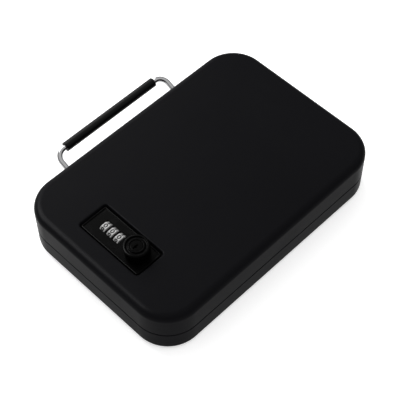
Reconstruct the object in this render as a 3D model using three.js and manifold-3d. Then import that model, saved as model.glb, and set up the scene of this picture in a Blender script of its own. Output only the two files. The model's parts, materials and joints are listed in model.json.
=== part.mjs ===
// Medication lock box: a flat pressed-steel case with a hinged lid, a three-dial lock and a wire bail.
// Millimetres. X is across the case, Y runs from the lock end to the hinge end, and Z is up.
// The origin is the middle of the flat underside.

import * as THREE from 'three';
import { mergeVertices } from 'three/addons/utils/BufferGeometryUtils.js';
import Module from 'manifold-3d';

const wasm = await Module();
wasm.setup();

// Clearances
const SEAT_GAP = 0.3;
const LIP_GAP = 0.4;
const RUNNING_GAP = 0.4;

// Case: two pressed halves
const LENGTH = 241;
const WIDTH = 166;
const HEIGHT = 46;
const SEAM_HEIGHT = 21;
const SEAM_GAP = 0.6;
const SHEET = 1.2;
const CORNER_RADIUS = 30;
const LID_EDGE_RADIUS = 6.5;
const BASE_EDGE_RADIUS = 6;
const LIP_RISE = 6;
const LIP_DROP = 3.5;
const LIP_SHEET = 1.2;

// Hinge at the +Y end, its pin on the outer wall plane at the seam
const HINGE_END_MARGIN = 3;
const KNUCKLE_COUNT = 7;
const KNUCKLE_RADIUS = 2.6;
const LEAF_SHEET = 1;
const LEAF_HEIGHT = 13;
const HINGE_PIN_RADIUS = 1.2;
const PIN_HEAD_RADIUS = 2.1;
const PIN_HEAD_LENGTH = 0.8;
const LID_OPENING_DEG = 105;
const STOP_TONGUE_DEG = 35;
const STOP_TONGUE_START_DEG = 100;
const STOP_TONGUE_LENGTH = 2;
const STOP_PLAY_DEG = 2;

// Strike at the -Y end, which the latch cam goes under
const STRIKE_WIDTH = 24;
const STRIKE_SHEET = 1.5;
const STRIKE_REACH = 12;
const STRIKE_FOOT = 9;
const STRIKE_PLAY = 0.6;

// Lock plate in a pressed pocket of the lid, with its middle a little nearer the lock end than its dials
const LOCK_INSET = 33.5;
const PLATE_SHIFT = 0.7;
const BEZEL_WIDTH = 62.9;
const BEZEL_END_MARGIN = 2.45;
const BEZEL_CORNER = 1.6;
const BEZEL_SET = 1.2;
const BEZEL_RIM = 1.2;
const BEZEL_FACE_DROP = 0.8;
const BEZEL_CHAMFER = 0.4;
const DIAL_WEB = 0.8;
const POCKET_GROOVE = 1.2;
const POCKET_DEPTH = 4.5;
const POCKET_CHAMFER = 1.2;

// Number dials on an axle along X
const DIAL_COUNT = 3;
const DIAL_MIDDLE_X = -10.3;
const DIAL_PITCH = 7.5;
const DIAL_WIDTH = 5.4;
const DIAL_RADIUS = 7.3;
const DIAL_FACETS = 10;
const DIAL_BORE = 4.4;
const DIAL_EDGE = 0.5;
const DIAL_PROTRUSION = 0.9;
const SLEEVE_RADIUS = 3.8;
const FLANGE_RADIUS = 5;
const FLANGE_WIDTH = 1.1;
const GATE_WIDTH = 1.8;
const GATE_DEPTH = 1.3;
const DIAL_AXLE_RADIUS = 1.2;

// Knob, spindle, cam and key plug on one axis along Z
const KNOB_X = 17;
const KNOB_RADIUS = 10.5;
const KNOB_HEIGHT = 10.5;
const KNOB_EDGE = 0.8;
const KNOB_RIM = 1.2;
const KNOB_VALLEY_DEPTH = 1.1;
const KNOB_HUB_RADIUS = 6.4;
const PLUG_RADIUS = 4.9;
const PLUG_SEAT = 2;
const KEY_SLOT_LENGTH = 6.6;
const KEY_SLOT_WIDTH = 1.3;
const KEY_SLOT_DEPTH = 3.4;
const SPINDLE_RADIUS = 4;
const COLLAR_RADIUS = 6.4;
const COLLAR_THICKNESS = 3.2;
const COLLAR_NOTCH_WIDTH = 3;
const COLLAR_NOTCH_DEPTH = 1.6;
const STUB_SIDE = 5.6;
const CAM_THICKNESS = 2;
const CAM_HUB_RADIUS = 7;
const CAM_ARM_WIDTH = 11;
const CAM_TIP_PLAY = 2.9;
const WASHER_RADIUS = 5.5;
const WASHER_THICKNESS = 1;
const CAM_SCREW_RADIUS = 1.3;
const CAM_SCREW_HEAD_RADIUS = 3.8;
const CAM_SCREW_HEAD = 2;
const CAM_SCREW_GRIP = 8;
const KNOB_TURN_DEG = 90;

// Lock housing under the pocket
const HOUSING_SIDE_INSET = 1.8;
const HOUSING_DEPTH = 12.5;
const HOUSING_WALL = 1.6;
const HOUSING_CORNER = 2;
const POST_RADIUS = 3;
const POST_INSET = 3.3;
const SCREW_RADIUS = 1.2;
const SCREW_HEAD_RADIUS = 2.3;
const SCREW_HEAD = 1.5;
const BEZEL_SCREW_BITE = 1.4;
const SPRING_LEAF_SHEET = 0.5;
const SPRING_LEAF_FOOT = 3;
const SPRING_FINGER_WIDTH = 2.7;
const BAR_SHEET = 1;
const BAR_HEIGHT = 3;
const HOOK_GAP = 0.45;

// Code reset button, which is pushed up into the housing
const RESET_OFFSET_Y = 4.6;
const RESET_PIN_RADIUS = 1.7;
const RESET_FLANGE_RADIUS = 2.6;
const RESET_FLANGE = 1;
const RESET_PROUD = 2;
const RESET_STUB_RADIUS = 1.1;
const RESET_STUB_LENGTH = 3.6;
const RESET_SPRING_RADIUS = 1.9;
const RESET_WIRE_RADIUS = 0.25;
const RESET_SPRING_TURNS = 6;

// Bail on the -X side wall
const BAIL_PIVOT_HEIGHT = 14;
const BAIL_WIRE_RADIUS = 2.35;
const BAIL_REACH = 26.7;
const BAIL_LEG_SPACING = 121.2;
const BAIL_BEND_RADIUS = 8.65;
const BAIL_FOOT_BEND_RADIUS = 3.6;
const BAIL_TRUNNION_LENGTH = 14;
const BAIL_REST_DEG = 25.2;
const BAIL_LOWEST_DEG = -20;
const GRIP_RADIUS = 4.15;
const GRIP_LENGTH = 100;
const GRIP_EDGE = 0.4;
const BRACKET_SHEET = 1.2;
const BRACKET_WIDTH = 11;
const BRACKET_FLANGE = 4;
const BRACKET_LIP = 1.5;
const BRACKET_CORNER_GAP = 2;
const STOP_TAB_WIDTH = 7;
const STOP_TAB_REACH = 8;
const BRACKET_RIVET_RADIUS = 1.1;
const BRACKET_RIVET_HEAD_RADIUS = 1.7;
const BRACKET_RIVET_HEAD = 0.8;
const BRACKET_RIVET_SPACING = 6;

// Foam liners
const BASE_FOAM_THICKNESS = 4;
const LID_FOAM_THICKNESS = 4;
const FOAM_INSET = 8;
const LID_FOAM_LOCK_GAP = 4;

// Screw and rivet heads narrow to this share of their radius at the top
const HEAD_CROWN = 0.7;

// Facets
const CASE_CORNER_STEPS = 6;
const CASE_EDGE_STEPS = 4;
const CORNER_STEPS = 3;
const CHAMFER_STEPS = 1;
const KNOB_STEPS = 32;
const ROUND_STEPS = 16;
const SMALL_ROUND_STEPS = 10;
const WIRE_STEPS = 12;
const BEND_STEPS = 6;
const SPRING_STEPS = 8;
const SPRING_SIDES = 5;

// Places worked out from the sizes above
const BACK_Y = LENGTH / 2;
const FRONT_Y = -LENGTH / 2;
const SIDE_X = -WIDTH / 2;
const LOCK_Y = FRONT_Y + LOCK_INSET;
const PLATE_Y = LOCK_Y - PLATE_SHIFT;
const BASE_TOP = SEAM_HEIGHT - SEAM_GAP / 2;
const LID_BOTTOM = SEAM_HEIGHT + SEAM_GAP / 2;
const LIP_INSET = SHEET + LIP_GAP;
const HINGE_LENGTH = WIDTH - 2 * CORNER_RADIUS - 2 * HINGE_END_MARGIN;
const KNUCKLE_BORE = HINGE_PIN_RADIUS + SEAT_GAP;
const KNUCKLE_PITCH = HINGE_LENGTH / KNUCKLE_COUNT;
const HOUSING_INNER_Y = DIAL_RADIUS + BAR_SHEET + 2 * SEAT_GAP;
const HOUSING_LENGTH = 2 * (HOUSING_INNER_Y + HOUSING_WALL);
const BEZEL_LENGTH = HOUSING_LENGTH + 2 * BEZEL_END_MARGIN;
const POCKET_FLOOR = HEIGHT - POCKET_DEPTH;
const POCKET_UNDERSIDE = POCKET_FLOOR - SHEET;
const POCKET_WIDTH = BEZEL_WIDTH + 2 * POCKET_GROOVE;
const POCKET_LENGTH = BEZEL_LENGTH + 2 * POCKET_GROOVE;
const BEZEL_TOP = HEIGHT - BEZEL_SET;
const BEZEL_BOTTOM = POCKET_FLOOR + SEAT_GAP;
const BEZEL_FACE = BEZEL_TOP - BEZEL_FACE_DROP;
const DIAL_WEB_BOTTOM = BEZEL_FACE - DIAL_WEB;
const DIAL_APOTHEM = DIAL_RADIUS * Math.cos(Math.PI / DIAL_FACETS);
const DIAL_AXLE_Z = BEZEL_FACE + DIAL_PROTRUSION - DIAL_APOTHEM;
const SLEEVE_LENGTH = DIAL_PITCH - RUNNING_GAP;
const FLANGE_LOW = (DIAL_PITCH - FLANGE_WIDTH) / 2;
const FLANGE_HIGH = (DIAL_PITCH + FLANGE_WIDTH) / 2;
const DIAL_GROUP = (DIAL_COUNT - 1) * DIAL_PITCH + SLEEVE_LENGTH;
const GROUP_X = DIAL_MIDDLE_X + FLANGE_HIGH - SLEEVE_LENGTH / 2;
const HOUSING_WIDTH = BEZEL_WIDTH - 2 * HOUSING_SIDE_INSET;
const HOUSING_TOP = POCKET_UNDERSIDE - SEAT_GAP;
const HOUSING_BOTTOM = HOUSING_TOP - HOUSING_DEPTH;
const HOUSING_FLOOR = HOUSING_BOTTOM + HOUSING_WALL;
const WINDOW_HALF = DIAL_GROUP / 2 + RUNNING_GAP;
const KNOB_BOTTOM = BEZEL_FACE + SEAT_GAP;
const KNOB_TOP = KNOB_BOTTOM + KNOB_HEIGHT;
const COLLAR_TOP = HOUSING_TOP;
const COLLAR_BOTTOM = COLLAR_TOP - COLLAR_THICKNESS;
const CAM_TOP = HOUSING_BOTTOM - SEAT_GAP - SCREW_HEAD - RUNNING_GAP;
const CAM_BOTTOM = CAM_TOP - CAM_THICKNESS;
const CAM_REACH = LOCK_INSET - SHEET - LIP_GAP - STRIKE_SHEET - CAM_TIP_PLAY;
const STRIKE_UNDERSIDE = CAM_TOP + STRIKE_PLAY;
const STRIKE_TOP = STRIKE_UNDERSIDE + STRIKE_SHEET;
const HOOK_X = GROUP_X + WINDOW_HALF + HOUSING_WALL + SEAT_GAP;
const RESET_X = HOOK_X + BAR_SHEET + HOOK_GAP + RESET_SPRING_RADIUS + RESET_WIRE_RADIUS;
const HOOK_Y = RESET_OFFSET_Y + RESET_SPRING_RADIUS + RESET_WIRE_RADIUS + RUNNING_GAP;
const BAIL_STAND_OFF = BAIL_WIRE_RADIUS + SEAT_GAP;
const BAIL_LEG_Y = BAIL_LEG_SPACING / 2;
const BRACKET_Y = BAIL_LEG_Y - BAIL_FOOT_BEND_RADIUS - BRACKET_CORNER_GAP - BRACKET_WIDTH / 2;
const BRACKET_BORE = BAIL_WIRE_RADIUS + SEAT_GAP;
const BRACKET_OUTER = BRACKET_BORE + BRACKET_SHEET;
const RIVET_DROP = BRACKET_OUTER + BRACKET_FLANGE / 2;
const BASE_FOAM_TOP = SHEET + SEAT_GAP + BASE_FOAM_THICKNESS;
const LID_FOAM_TOP = HEIGHT - SHEET - SEAT_GAP;

// Materials
function finish(color, roughness, metalness) {
  return new THREE.MeshStandardMaterial({ color, roughness, metalness });
}
const blackPaint = finish(0x1c1c1d, 0.55, 0.2);
const blackZinc = finish(0x111112, 0.35, 0.3);
const chrome = finish(0xd8dadd, 0.15, 1);
const bareSteel = finish(0xa3a6aa, 0.4, 0.9);
const dialMetal = finish(0xc9cbcd, 0.35, 0.8);
const brass = finish(0xb8964a, 0.35, 0.9);
const gripRubber = finish(0x161617, 0.7, 0);
const foam = finish(0x232325, 0.95, 0);

// Solids

// A closed geometry as a solid, with its shared corners merged and its faces pointing out.
function toSolid(geometry) {
  const bare = geometry.clone();
  bare.deleteAttribute('normal');
  bare.deleteAttribute('uv');
  const merged = mergeVertices(bare, 1e-4);
  const positions = merged.attributes.position.array;
  const index = merged.index.array;
  const corner = (k) => new THREE.Vector3().fromArray(positions, 3 * index[k]);
  const triangles = [];
  let volume = 0;
  for (let k = 0; k < index.length; k += 3) {
    const [a, b, c] = [index[k], index[k + 1], index[k + 2]];
    if (a !== b && b !== c && c !== a) {
      triangles.push(a, b, c);
      volume += corner(k).dot(corner(k + 1).cross(corner(k + 2)));
    }
  }
  if (volume < 0) triangles.reverse();
  return new wasm.Manifold(new wasm.Mesh({
    numProp: 3,
    vertProperties: new Float32Array(positions),
    triVerts: new Uint32Array(triangles),
  }));
}

function toGeometry(solid) {
  const mesh = solid.getMesh();
  const geometry = new THREE.BufferGeometry();
  geometry.setAttribute('position', new THREE.BufferAttribute(mesh.vertProperties, 3));
  geometry.setIndex(new THREE.BufferAttribute(mesh.triVerts, 1));
  geometry.computeVertexNormals();
  return geometry;
}

function join(...geometries) {
  return toGeometry(geometries.map(toSolid).reduce((whole, piece) => whole.add(piece)));
}

function cut(geometry, ...cutters) {
  return toGeometry(cutters.map(toSolid).reduce((whole, piece) => whole.subtract(piece), toSolid(geometry)));
}

// A block between two corners given as [x, y, z].
function block(low, high) {
  const size = high.map((value, axis) => value - low[axis]);
  const geometry = new THREE.BoxGeometry(...size);
  return geometry.translate(...low.map((value, axis) => value + size[axis] / 2));
}

// A flat outline pushed up from one height to another.
function prism(shape, low, high, curveSegments = CORNER_STEPS) {
  const options = { depth: high - low, bevelEnabled: false, curveSegments };
  return new THREE.ExtrudeGeometry(shape, options).translate(0, 0, low);
}

// A profile of [radius, height] points turned round the Z axis, and closed on itself or on the axis.
function turned(profile, steps = ROUND_STEPS, start = 0) {
  const points = profile.map(([radius, height]) => new THREE.Vector2(radius, height));
  return new THREE.LatheGeometry(points, steps, start).rotateX(Math.PI / 2);
}

function rod(radius, low, high, steps = SMALL_ROUND_STEPS) {
  return turned([[0, low], [radius, low], [radius, high], [0, high]], steps);
}

function tube(bore, radius, low, high, steps = ROUND_STEPS) {
  return turned([[bore, low], [radius, low], [radius, high], [bore, high], [bore, low]], steps);
}

// Turns a piece made along Z so that it lies along +X, with +X of the piece now down.
function alongX(geometry) {
  return geometry.rotateY(Math.PI / 2);
}

function roundedRectangle(width, length, radius) {
  const x = width / 2;
  const y = length / 2;
  const shape = new THREE.Shape();
  shape.moveTo(x, radius - y);
  shape.absarc(x - radius, y - radius, radius, 0, Math.PI / 2);
  shape.absarc(radius - x, y - radius, radius, Math.PI / 2, Math.PI);
  shape.absarc(radius - x, radius - y, radius, Math.PI, 1.5 * Math.PI);
  shape.absarc(x - radius, radius - y, radius, 1.5 * Math.PI, 2 * Math.PI);
  return shape;
}

// The case's own outline, drawn in from the outer wall by an inset.
function caseOutline(inset) {
  return roundedRectangle(WIDTH - 2 * inset, LENGTH - 2 * inset, CORNER_RADIUS - inset);
}

// The case's outline between two heights, with its top and bottom edges rounded.
function caseBlock(inset, edge, low, high) {
  const options = {
    depth: high - low - 2 * edge,
    bevelThickness: edge,
    bevelSize: edge,
    bevelSegments: CASE_EDGE_STEPS,
    curveSegments: CASE_CORNER_STEPS,
  };
  return new THREE.ExtrudeGeometry(caseOutline(inset + edge), options).translate(0, 0, low + edge);
}

// A wall that follows the case's outline, between two insets and two heights.
function caseRing(outerInset, innerInset, low, high) {
  const shape = caseOutline(outerInset);
  shape.holes.push(caseOutline(innerInset));
  return prism(shape, low, high, CASE_CORNER_STEPS);
}

// Everything in the case's plan between two heights, to cut with.
function slab(low, high) {
  return block([-WIDTH, -LENGTH, low], [WIDTH, LENGTH, high]);
}

const group = new THREE.Group();

function add(name, geometry, material, parent = group) {
  const mesh = new THREE.Mesh(geometry, material);
  mesh.name = name;
  parent.add(mesh);
}

// Half the width that the hinge needs in the walls, with its pin heads.
function hingeHalf() {
  return HINGE_LENGTH / 2 + PIN_HEAD_LENGTH + 2 * SEAT_GAP;
}

// Where the knuckles pass through the base's wall, and where the leaf passes its lip and shoulder.
function baseHingeNotches() {
  const half = hingeHalf();
  const inner = BACK_Y - LIP_INSET - LIP_SHEET - SHEET;
  const high = SEAM_HEIGHT + LIP_RISE + SHEET;
  return [
    block([-half, inner, SEAM_HEIGHT - KNUCKLE_RADIUS - RUNNING_GAP], [half, BACK_Y + SHEET, high]),
    block([-half, inner, BASE_TOP - LIP_DROP - SHEET], [half, BACK_Y - SHEET, high]),
  ];
}

// The four places, [y, z] on the -X wall, of the rivets that hold the two brackets.
function bracketRivetPlaces() {
  const places = [];
  for (const end of [-1, 1]) {
    for (const side of [-1, 1]) {
      places.push([end * BRACKET_Y + side * BRACKET_RIVET_SPACING / 2, BAIL_PIVOT_HEIGHT - RIVET_DROP]);
    }
  }
  return places;
}

function baseShell() {
  const tall = SEAM_HEIGHT + 2 * BASE_EDGE_RADIUS;
  const tray = cut(
    caseBlock(0, BASE_EDGE_RADIUS, 0, tall),
    caseBlock(SHEET, BASE_EDGE_RADIUS - SHEET, SHEET, tall),
    slab(BASE_TOP, tall + SHEET),
  );
  const shoulder = caseRing(SHEET / 2, LIP_INSET + LIP_SHEET, BASE_TOP - LIP_DROP, BASE_TOP);
  const lip = caseRing(LIP_INSET, LIP_INSET + LIP_SHEET, BASE_TOP - LIP_DROP, SEAM_HEIGHT + LIP_RISE);
  const strikeHalf = STRIKE_WIDTH / 2 + RUNNING_GAP;
  const strikeNotch = block([-strikeHalf + KNOB_X, FRONT_Y + SHEET, BASE_TOP - LIP_DROP - SHEET],
    [strikeHalf + KNOB_X, FRONT_Y + LIP_INSET + 2 * LIP_SHEET, SEAM_HEIGHT + LIP_RISE + SHEET]);
  const rivetHoles = bracketRivetPlaces().map(([y, z]) => alongX(
    rod(BRACKET_RIVET_RADIUS + SEAT_GAP, SIDE_X - SHEET, SIDE_X + 2 * SHEET)).translate(0, y, z));
  return cut(join(tray, shoulder, lip), ...baseHingeNotches(), strikeNotch, ...rivetHoles);
}

// An L of sheet welded inside the front wall: its foot stands on the wall and its tab points inwards.
function strikePlate() {
  const half = STRIKE_WIDTH / 2;
  const wall = FRONT_Y + SHEET + LIP_GAP;
  return join(
    block([-half, wall, STRIKE_FOOT], [half, wall + STRIKE_SHEET, STRIKE_TOP]),
    block([-half, wall, STRIKE_UNDERSIDE], [half, wall + STRIKE_REACH, STRIKE_TOP]),
  ).translate(KNOB_X, 0, 0);
}

// A sector of the knuckle's wall, between two angles measured from +Y towards +Z, to add or to cut.
function knuckleSector(bore, radius, fromDeg, toDeg, low, high) {
  const shape = new THREE.Shape();
  const from = THREE.MathUtils.degToRad(fromDeg);
  const to = THREE.MathUtils.degToRad(toDeg);
  shape.absarc(0, 0, radius, from, to, false);
  shape.absarc(0, 0, bore, to, from, true);
  return prism(shape, 0, high - low).rotateX(Math.PI / 2).rotateZ(Math.PI / 2).translate(low, 0, 0);
}

// One hinge leaf with every second knuckle. The leaf hangs down, or stands up when it belongs to the lid.
function hingeLeaf(firstKnuckle, up) {
  const half = HINGE_LENGTH / 2;
  const room = KNUCKLE_RADIUS + RUNNING_GAP;
  const span = (low, high) => (up ? [low, high] : [-high, -low]);
  const [plateLow, plateHigh] = span(room, LEAF_HEIGHT);
  const plateY = [-KNUCKLE_RADIUS, LEAF_SHEET - KNUCKLE_RADIUS];
  const pieces = [block([-half, plateY[0], plateLow], [half, plateY[1], plateHigh])];
  const [neckLow, neckHigh] = span(0, room + LEAF_SHEET);
  const slots = [];
  const middle = (KNUCKLE_COUNT - 1) / 2;
  for (let k = firstKnuckle; k < KNUCKLE_COUNT; k += 2) {
    const low = k * KNUCKLE_PITCH - half + RUNNING_GAP / 2;
    const high = low + KNUCKLE_PITCH - RUNNING_GAP;
    pieces.push(alongX(tube(KNUCKLE_BORE, KNUCKLE_RADIUS, low, high)));
    pieces.push(block([low, plateY[0], neckLow], [high, plateY[1], neckHigh]));
    if (up && k === middle) {
      pieces.push(knuckleSector(KNUCKLE_BORE, KNUCKLE_RADIUS, STOP_TONGUE_START_DEG,
        STOP_TONGUE_START_DEG + STOP_TONGUE_DEG, low - STOP_TONGUE_LENGTH, high + STOP_TONGUE_LENGTH));
    }
    if (!up && Math.abs(k - middle) === 1) {
      const face = k < middle ? high : low;
      const depth = STOP_TONGUE_LENGTH + RUNNING_GAP;
      slots.push(knuckleSector(KNUCKLE_BORE - SEAT_GAP, KNUCKLE_RADIUS + SEAT_GAP,
        STOP_TONGUE_START_DEG - LID_OPENING_DEG - STOP_PLAY_DEG,
        STOP_TONGUE_START_DEG + STOP_TONGUE_DEG + STOP_PLAY_DEG, face - depth, face + depth));
    }
  }
  const leaf = join(...pieces);
  const shaped = slots.length ? cut(leaf, ...slots) : leaf;
  return shaped.translate(0, BACK_Y, SEAM_HEIGHT);
}

function hingePin() {
  const half = HINGE_LENGTH / 2 + SEAT_GAP;
  const head = half + PIN_HEAD_LENGTH;
  const profile = [[0, -head], [PIN_HEAD_RADIUS, -head], [PIN_HEAD_RADIUS, -half], [HINGE_PIN_RADIUS, -half],
    [HINGE_PIN_RADIUS, half], [PIN_HEAD_RADIUS, half], [PIN_HEAD_RADIUS, head], [0, head]];
  return alongX(turned(profile, SMALL_ROUND_STEPS)).translate(0, BACK_Y, SEAM_HEIGHT);
}

// The four places of the lock screws, and of the posts that they pass through.
function screwPlaces() {
  const x = HOUSING_WIDTH / 2 - POST_INSET;
  const y = HOUSING_LENGTH / 2 - POST_INSET;
  return [[-x, LOCK_Y - y], [x, LOCK_Y - y], [-x, LOCK_Y + y], [x, LOCK_Y + y]];
}

function dialPlaces() {
  return Array.from({ length: DIAL_COUNT }, (unused, k) =>
    DIAL_MIDDLE_X + (k - (DIAL_COUNT - 1) / 2) * DIAL_PITCH);
}

// Half the length of the dials' opening at a height, with room round the turning wheels.
function dialRoom(height) {
  const rise = Math.max(height - DIAL_AXLE_Z, 0);
  const radius = DIAL_RADIUS + RUNNING_GAP;
  return Math.sqrt(radius * radius - rise * rise);
}

function lidShell() {
  const low = LID_BOTTOM - 2 * LID_EDGE_RADIUS;
  const top = HEIGHT + SHEET;
  const cover = cut(
    caseBlock(0, LID_EDGE_RADIUS, low, HEIGHT),
    caseBlock(SHEET, LID_EDGE_RADIUS - SHEET, low, HEIGHT - SHEET),
    slab(low - SHEET, LID_BOTTOM),
  );
  const corner = BEZEL_CORNER + POCKET_GROOVE;
  const pocket = roundedRectangle(POCKET_WIDTH, POCKET_LENGTH, corner);
  const around = roundedRectangle(POCKET_WIDTH + 2 * SHEET, POCKET_LENGTH + 2 * SHEET, corner + SHEET);
  const well = prism(around, POCKET_UNDERSIDE, HEIGHT - SHEET / 2).translate(0, PLATE_Y, 0);
  const flareOptions = { depth: SHEET, bevelThickness: POCKET_CHAMFER, bevelSize: POCKET_CHAMFER,
    bevelSegments: CHAMFER_STEPS, curveSegments: CORNER_STEPS };
  const flare = new THREE.ExtrudeGeometry(pocket, flareOptions).translate(0, PLATE_Y, HEIGHT);
  const hollow = prism(pocket, POCKET_FLOOR, top).translate(0, PLATE_Y, 0);
  const windowRoom = dialRoom(POCKET_UNDERSIDE);
  const window = block([GROUP_X - WINDOW_HALF, LOCK_Y - windowRoom, POCKET_UNDERSIDE - SHEET],
    [GROUP_X + WINDOW_HALF, LOCK_Y + windowRoom, top]);
  const spindleHole = rod(SPINDLE_RADIUS + RUNNING_GAP, POCKET_UNDERSIDE - SHEET, top, ROUND_STEPS)
    .translate(KNOB_X, LOCK_Y, 0);
  const screwHoles = screwPlaces().map(([x, y]) =>
    rod(SCREW_RADIUS + SEAT_GAP, POCKET_UNDERSIDE - SHEET, top).translate(x, y, 0));
  const notch = block([-hingeHalf(), BACK_Y - 2 * SHEET, low],
    [hingeHalf(), BACK_Y + SHEET, SEAM_HEIGHT + KNUCKLE_RADIUS + RUNNING_GAP]);
  return cut(join(cover, well), hollow, flare, window, spindleHole, ...screwHoles, notch);
}

// A plate with a raised rim. Each dial stands in a slot whose ends follow the dial's circle.
function lockBezel() {
  const outline = roundedRectangle(BEZEL_WIDTH - 2 * BEZEL_CHAMFER, BEZEL_LENGTH - 2 * BEZEL_CHAMFER,
    BEZEL_CORNER - BEZEL_CHAMFER);
  const options = { depth: BEZEL_TOP - BEZEL_BOTTOM - 2 * BEZEL_CHAMFER, bevelThickness: BEZEL_CHAMFER,
    bevelSize: BEZEL_CHAMFER, bevelSegments: CHAMFER_STEPS, curveSegments: CORNER_STEPS };
  const plate = new THREE.ExtrudeGeometry(outline, options)
    .translate(0, PLATE_Y, BEZEL_BOTTOM + BEZEL_CHAMFER);
  const face = prism(roundedRectangle(BEZEL_WIDTH - 2 * BEZEL_RIM, BEZEL_LENGTH - 2 * BEZEL_RIM,
    BEZEL_CORNER - BEZEL_RIM), BEZEL_FACE, BEZEL_TOP + BEZEL_RIM).translate(0, PLATE_Y, 0);
  const slotHalf = DIAL_WIDTH / 2 + RUNNING_GAP;
  const slots = dialPlaces().map((x) => alongX(
    rod(DIAL_RADIUS + RUNNING_GAP, -slotHalf, slotHalf, KNOB_STEPS)).translate(x, LOCK_Y, DIAL_AXLE_Z));
  const relief = block([GROUP_X - WINDOW_HALF, LOCK_Y - dialRoom(BEZEL_BOTTOM), BEZEL_BOTTOM - SHEET],
    [GROUP_X + WINDOW_HALF, LOCK_Y + dialRoom(BEZEL_BOTTOM), DIAL_WEB_BOTTOM]);
  const spindleHole = rod(SPINDLE_RADIUS + RUNNING_GAP, BEZEL_BOTTOM - SHEET, BEZEL_TOP, ROUND_STEPS)
    .translate(KNOB_X, LOCK_Y, 0);
  const screwHoles = screwPlaces().map(([x, y]) => rod(SCREW_RADIUS + SEAT_GAP, BEZEL_BOTTOM - SHEET,
    BEZEL_BOTTOM + BEZEL_SCREW_BITE + SEAT_GAP).translate(x, y, 0));
  return cut(plate, face, relief, ...slots, spindleHole, ...screwHoles);
}

// An open-topped case with four screw posts and two ribs that carry the dial axle.
function lockHousing() {
  const outer = prism(roundedRectangle(HOUSING_WIDTH, HOUSING_LENGTH, HOUSING_CORNER),
    HOUSING_BOTTOM, HOUSING_TOP);
  const inner = prism(roundedRectangle(HOUSING_WIDTH - 2 * HOUSING_WALL, HOUSING_LENGTH - 2 * HOUSING_WALL,
    HOUSING_CORNER - HOUSING_WALL), HOUSING_FLOOR, HOUSING_TOP + HOUSING_WALL);
  const box = cut(outer, inner).translate(0, LOCK_Y, 0);
  const ribY = HOUSING_INNER_Y + HOUSING_WALL / 2;
  const ribs = [-1, 1].map((side) => {
    const near = GROUP_X + side * WINDOW_HALF;
    const far = near + side * HOUSING_WALL;
    return block([Math.min(near, far), LOCK_Y - ribY, HOUSING_FLOOR - HOUSING_WALL / 2],
      [Math.max(near, far), LOCK_Y + ribY, HOUSING_TOP]);
  });
  const posts = screwPlaces().map(([x, y]) =>
    rod(POST_RADIUS, HOUSING_BOTTOM, HOUSING_TOP).translate(x, y, 0));
  const screwHoles = screwPlaces().map(([x, y]) =>
    rod(SCREW_RADIUS + SEAT_GAP, HOUSING_BOTTOM - SHEET, HOUSING_TOP + SHEET).translate(x, y, 0));
  const ribEnd = WINDOW_HALF + HOUSING_WALL + SEAT_GAP;
  const axleHole = alongX(rod(DIAL_AXLE_RADIUS + SEAT_GAP, -ribEnd, ribEnd))
    .translate(GROUP_X, LOCK_Y, DIAL_AXLE_Z);
  const spindleHole = rod(SPINDLE_RADIUS + RUNNING_GAP, HOUSING_BOTTOM - SHEET, HOUSING_FLOOR + SHEET,
    ROUND_STEPS).translate(KNOB_X, LOCK_Y, 0);
  const resetHole = rod(RESET_PIN_RADIUS + SEAT_GAP, HOUSING_BOTTOM - SHEET, HOUSING_FLOOR + SHEET)
    .translate(RESET_X, LOCK_Y + RESET_OFFSET_Y, 0);
  const barGap = block([GROUP_X, LOCK_Y - HOUSING_INNER_Y, DIAL_AXLE_Z - BAR_HEIGHT / 2 - SEAT_GAP],
    [HOOK_X, LOCK_Y - HOUSING_INNER_Y + BAR_SHEET + 2 * SEAT_GAP, HOUSING_TOP + SHEET]);
  return cut(join(box, ...ribs, ...posts), ...screwHoles, axleHole, spindleHole, resetHole, barGap);
}

function lockScrew(x, y) {
  const headTop = HOUSING_BOTTOM - SEAT_GAP;
  const profile = [[0, headTop - SCREW_HEAD], [SCREW_HEAD_RADIUS * HEAD_CROWN, headTop - SCREW_HEAD],
    [SCREW_HEAD_RADIUS, headTop - SCREW_HEAD / 2], [SCREW_HEAD_RADIUS, headTop], [SCREW_RADIUS, headTop],
    [SCREW_RADIUS, BEZEL_BOTTOM + BEZEL_SCREW_BITE], [0, BEZEL_BOTTOM + BEZEL_SCREW_BITE]];
  return turned(profile, SMALL_ROUND_STEPS).translate(x, y, 0);
}

function dialAxle() {
  const half = WINDOW_HALF + HOUSING_WALL - SEAT_GAP;
  return alongX(rod(DIAL_AXLE_RADIUS, -half, half)).translate(GROUP_X, LOCK_Y, DIAL_AXLE_Z);
}

// A ten-sided wheel with broken edges; one of its flats faces straight up.
function dialWheel(x) {
  const half = DIAL_WIDTH / 2;
  const profile = [[DIAL_BORE, -half], [DIAL_RADIUS - DIAL_EDGE, -half], [DIAL_RADIUS, DIAL_EDGE - half],
    [DIAL_RADIUS, half - DIAL_EDGE], [DIAL_RADIUS - DIAL_EDGE, half], [DIAL_BORE, half], [DIAL_BORE, -half]];
  const wheel = turned(profile, DIAL_FACETS, Math.PI / 2 + Math.PI / DIAL_FACETS);
  return alongX(wheel).translate(x, LOCK_Y, DIAL_AXLE_Z);
}

// A sleeve on the axle, inside its wheel, with a flange beside the wheel and one gate that faces the bar.
function codeSleeve(x) {
  const low = FLANGE_HIGH - SLEEVE_LENGTH;
  const bore = DIAL_AXLE_RADIUS + SEAT_GAP;
  const profile = [[bore, low], [SLEEVE_RADIUS, low], [SLEEVE_RADIUS, FLANGE_LOW],
    [FLANGE_RADIUS, FLANGE_LOW], [FLANGE_RADIUS, FLANGE_HIGH], [bore, FLANGE_HIGH], [bore, low]];
  const gate = block([FLANGE_LOW - SEAT_GAP, -FLANGE_RADIUS - SEAT_GAP, -GATE_WIDTH / 2],
    [FLANGE_HIGH + SEAT_GAP, GATE_DEPTH - FLANGE_RADIUS, GATE_WIDTH / 2]);
  return cut(alongX(turned(profile, ROUND_STEPS)), gate).translate(x, LOCK_Y, DIAL_AXLE_Z);
}

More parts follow.
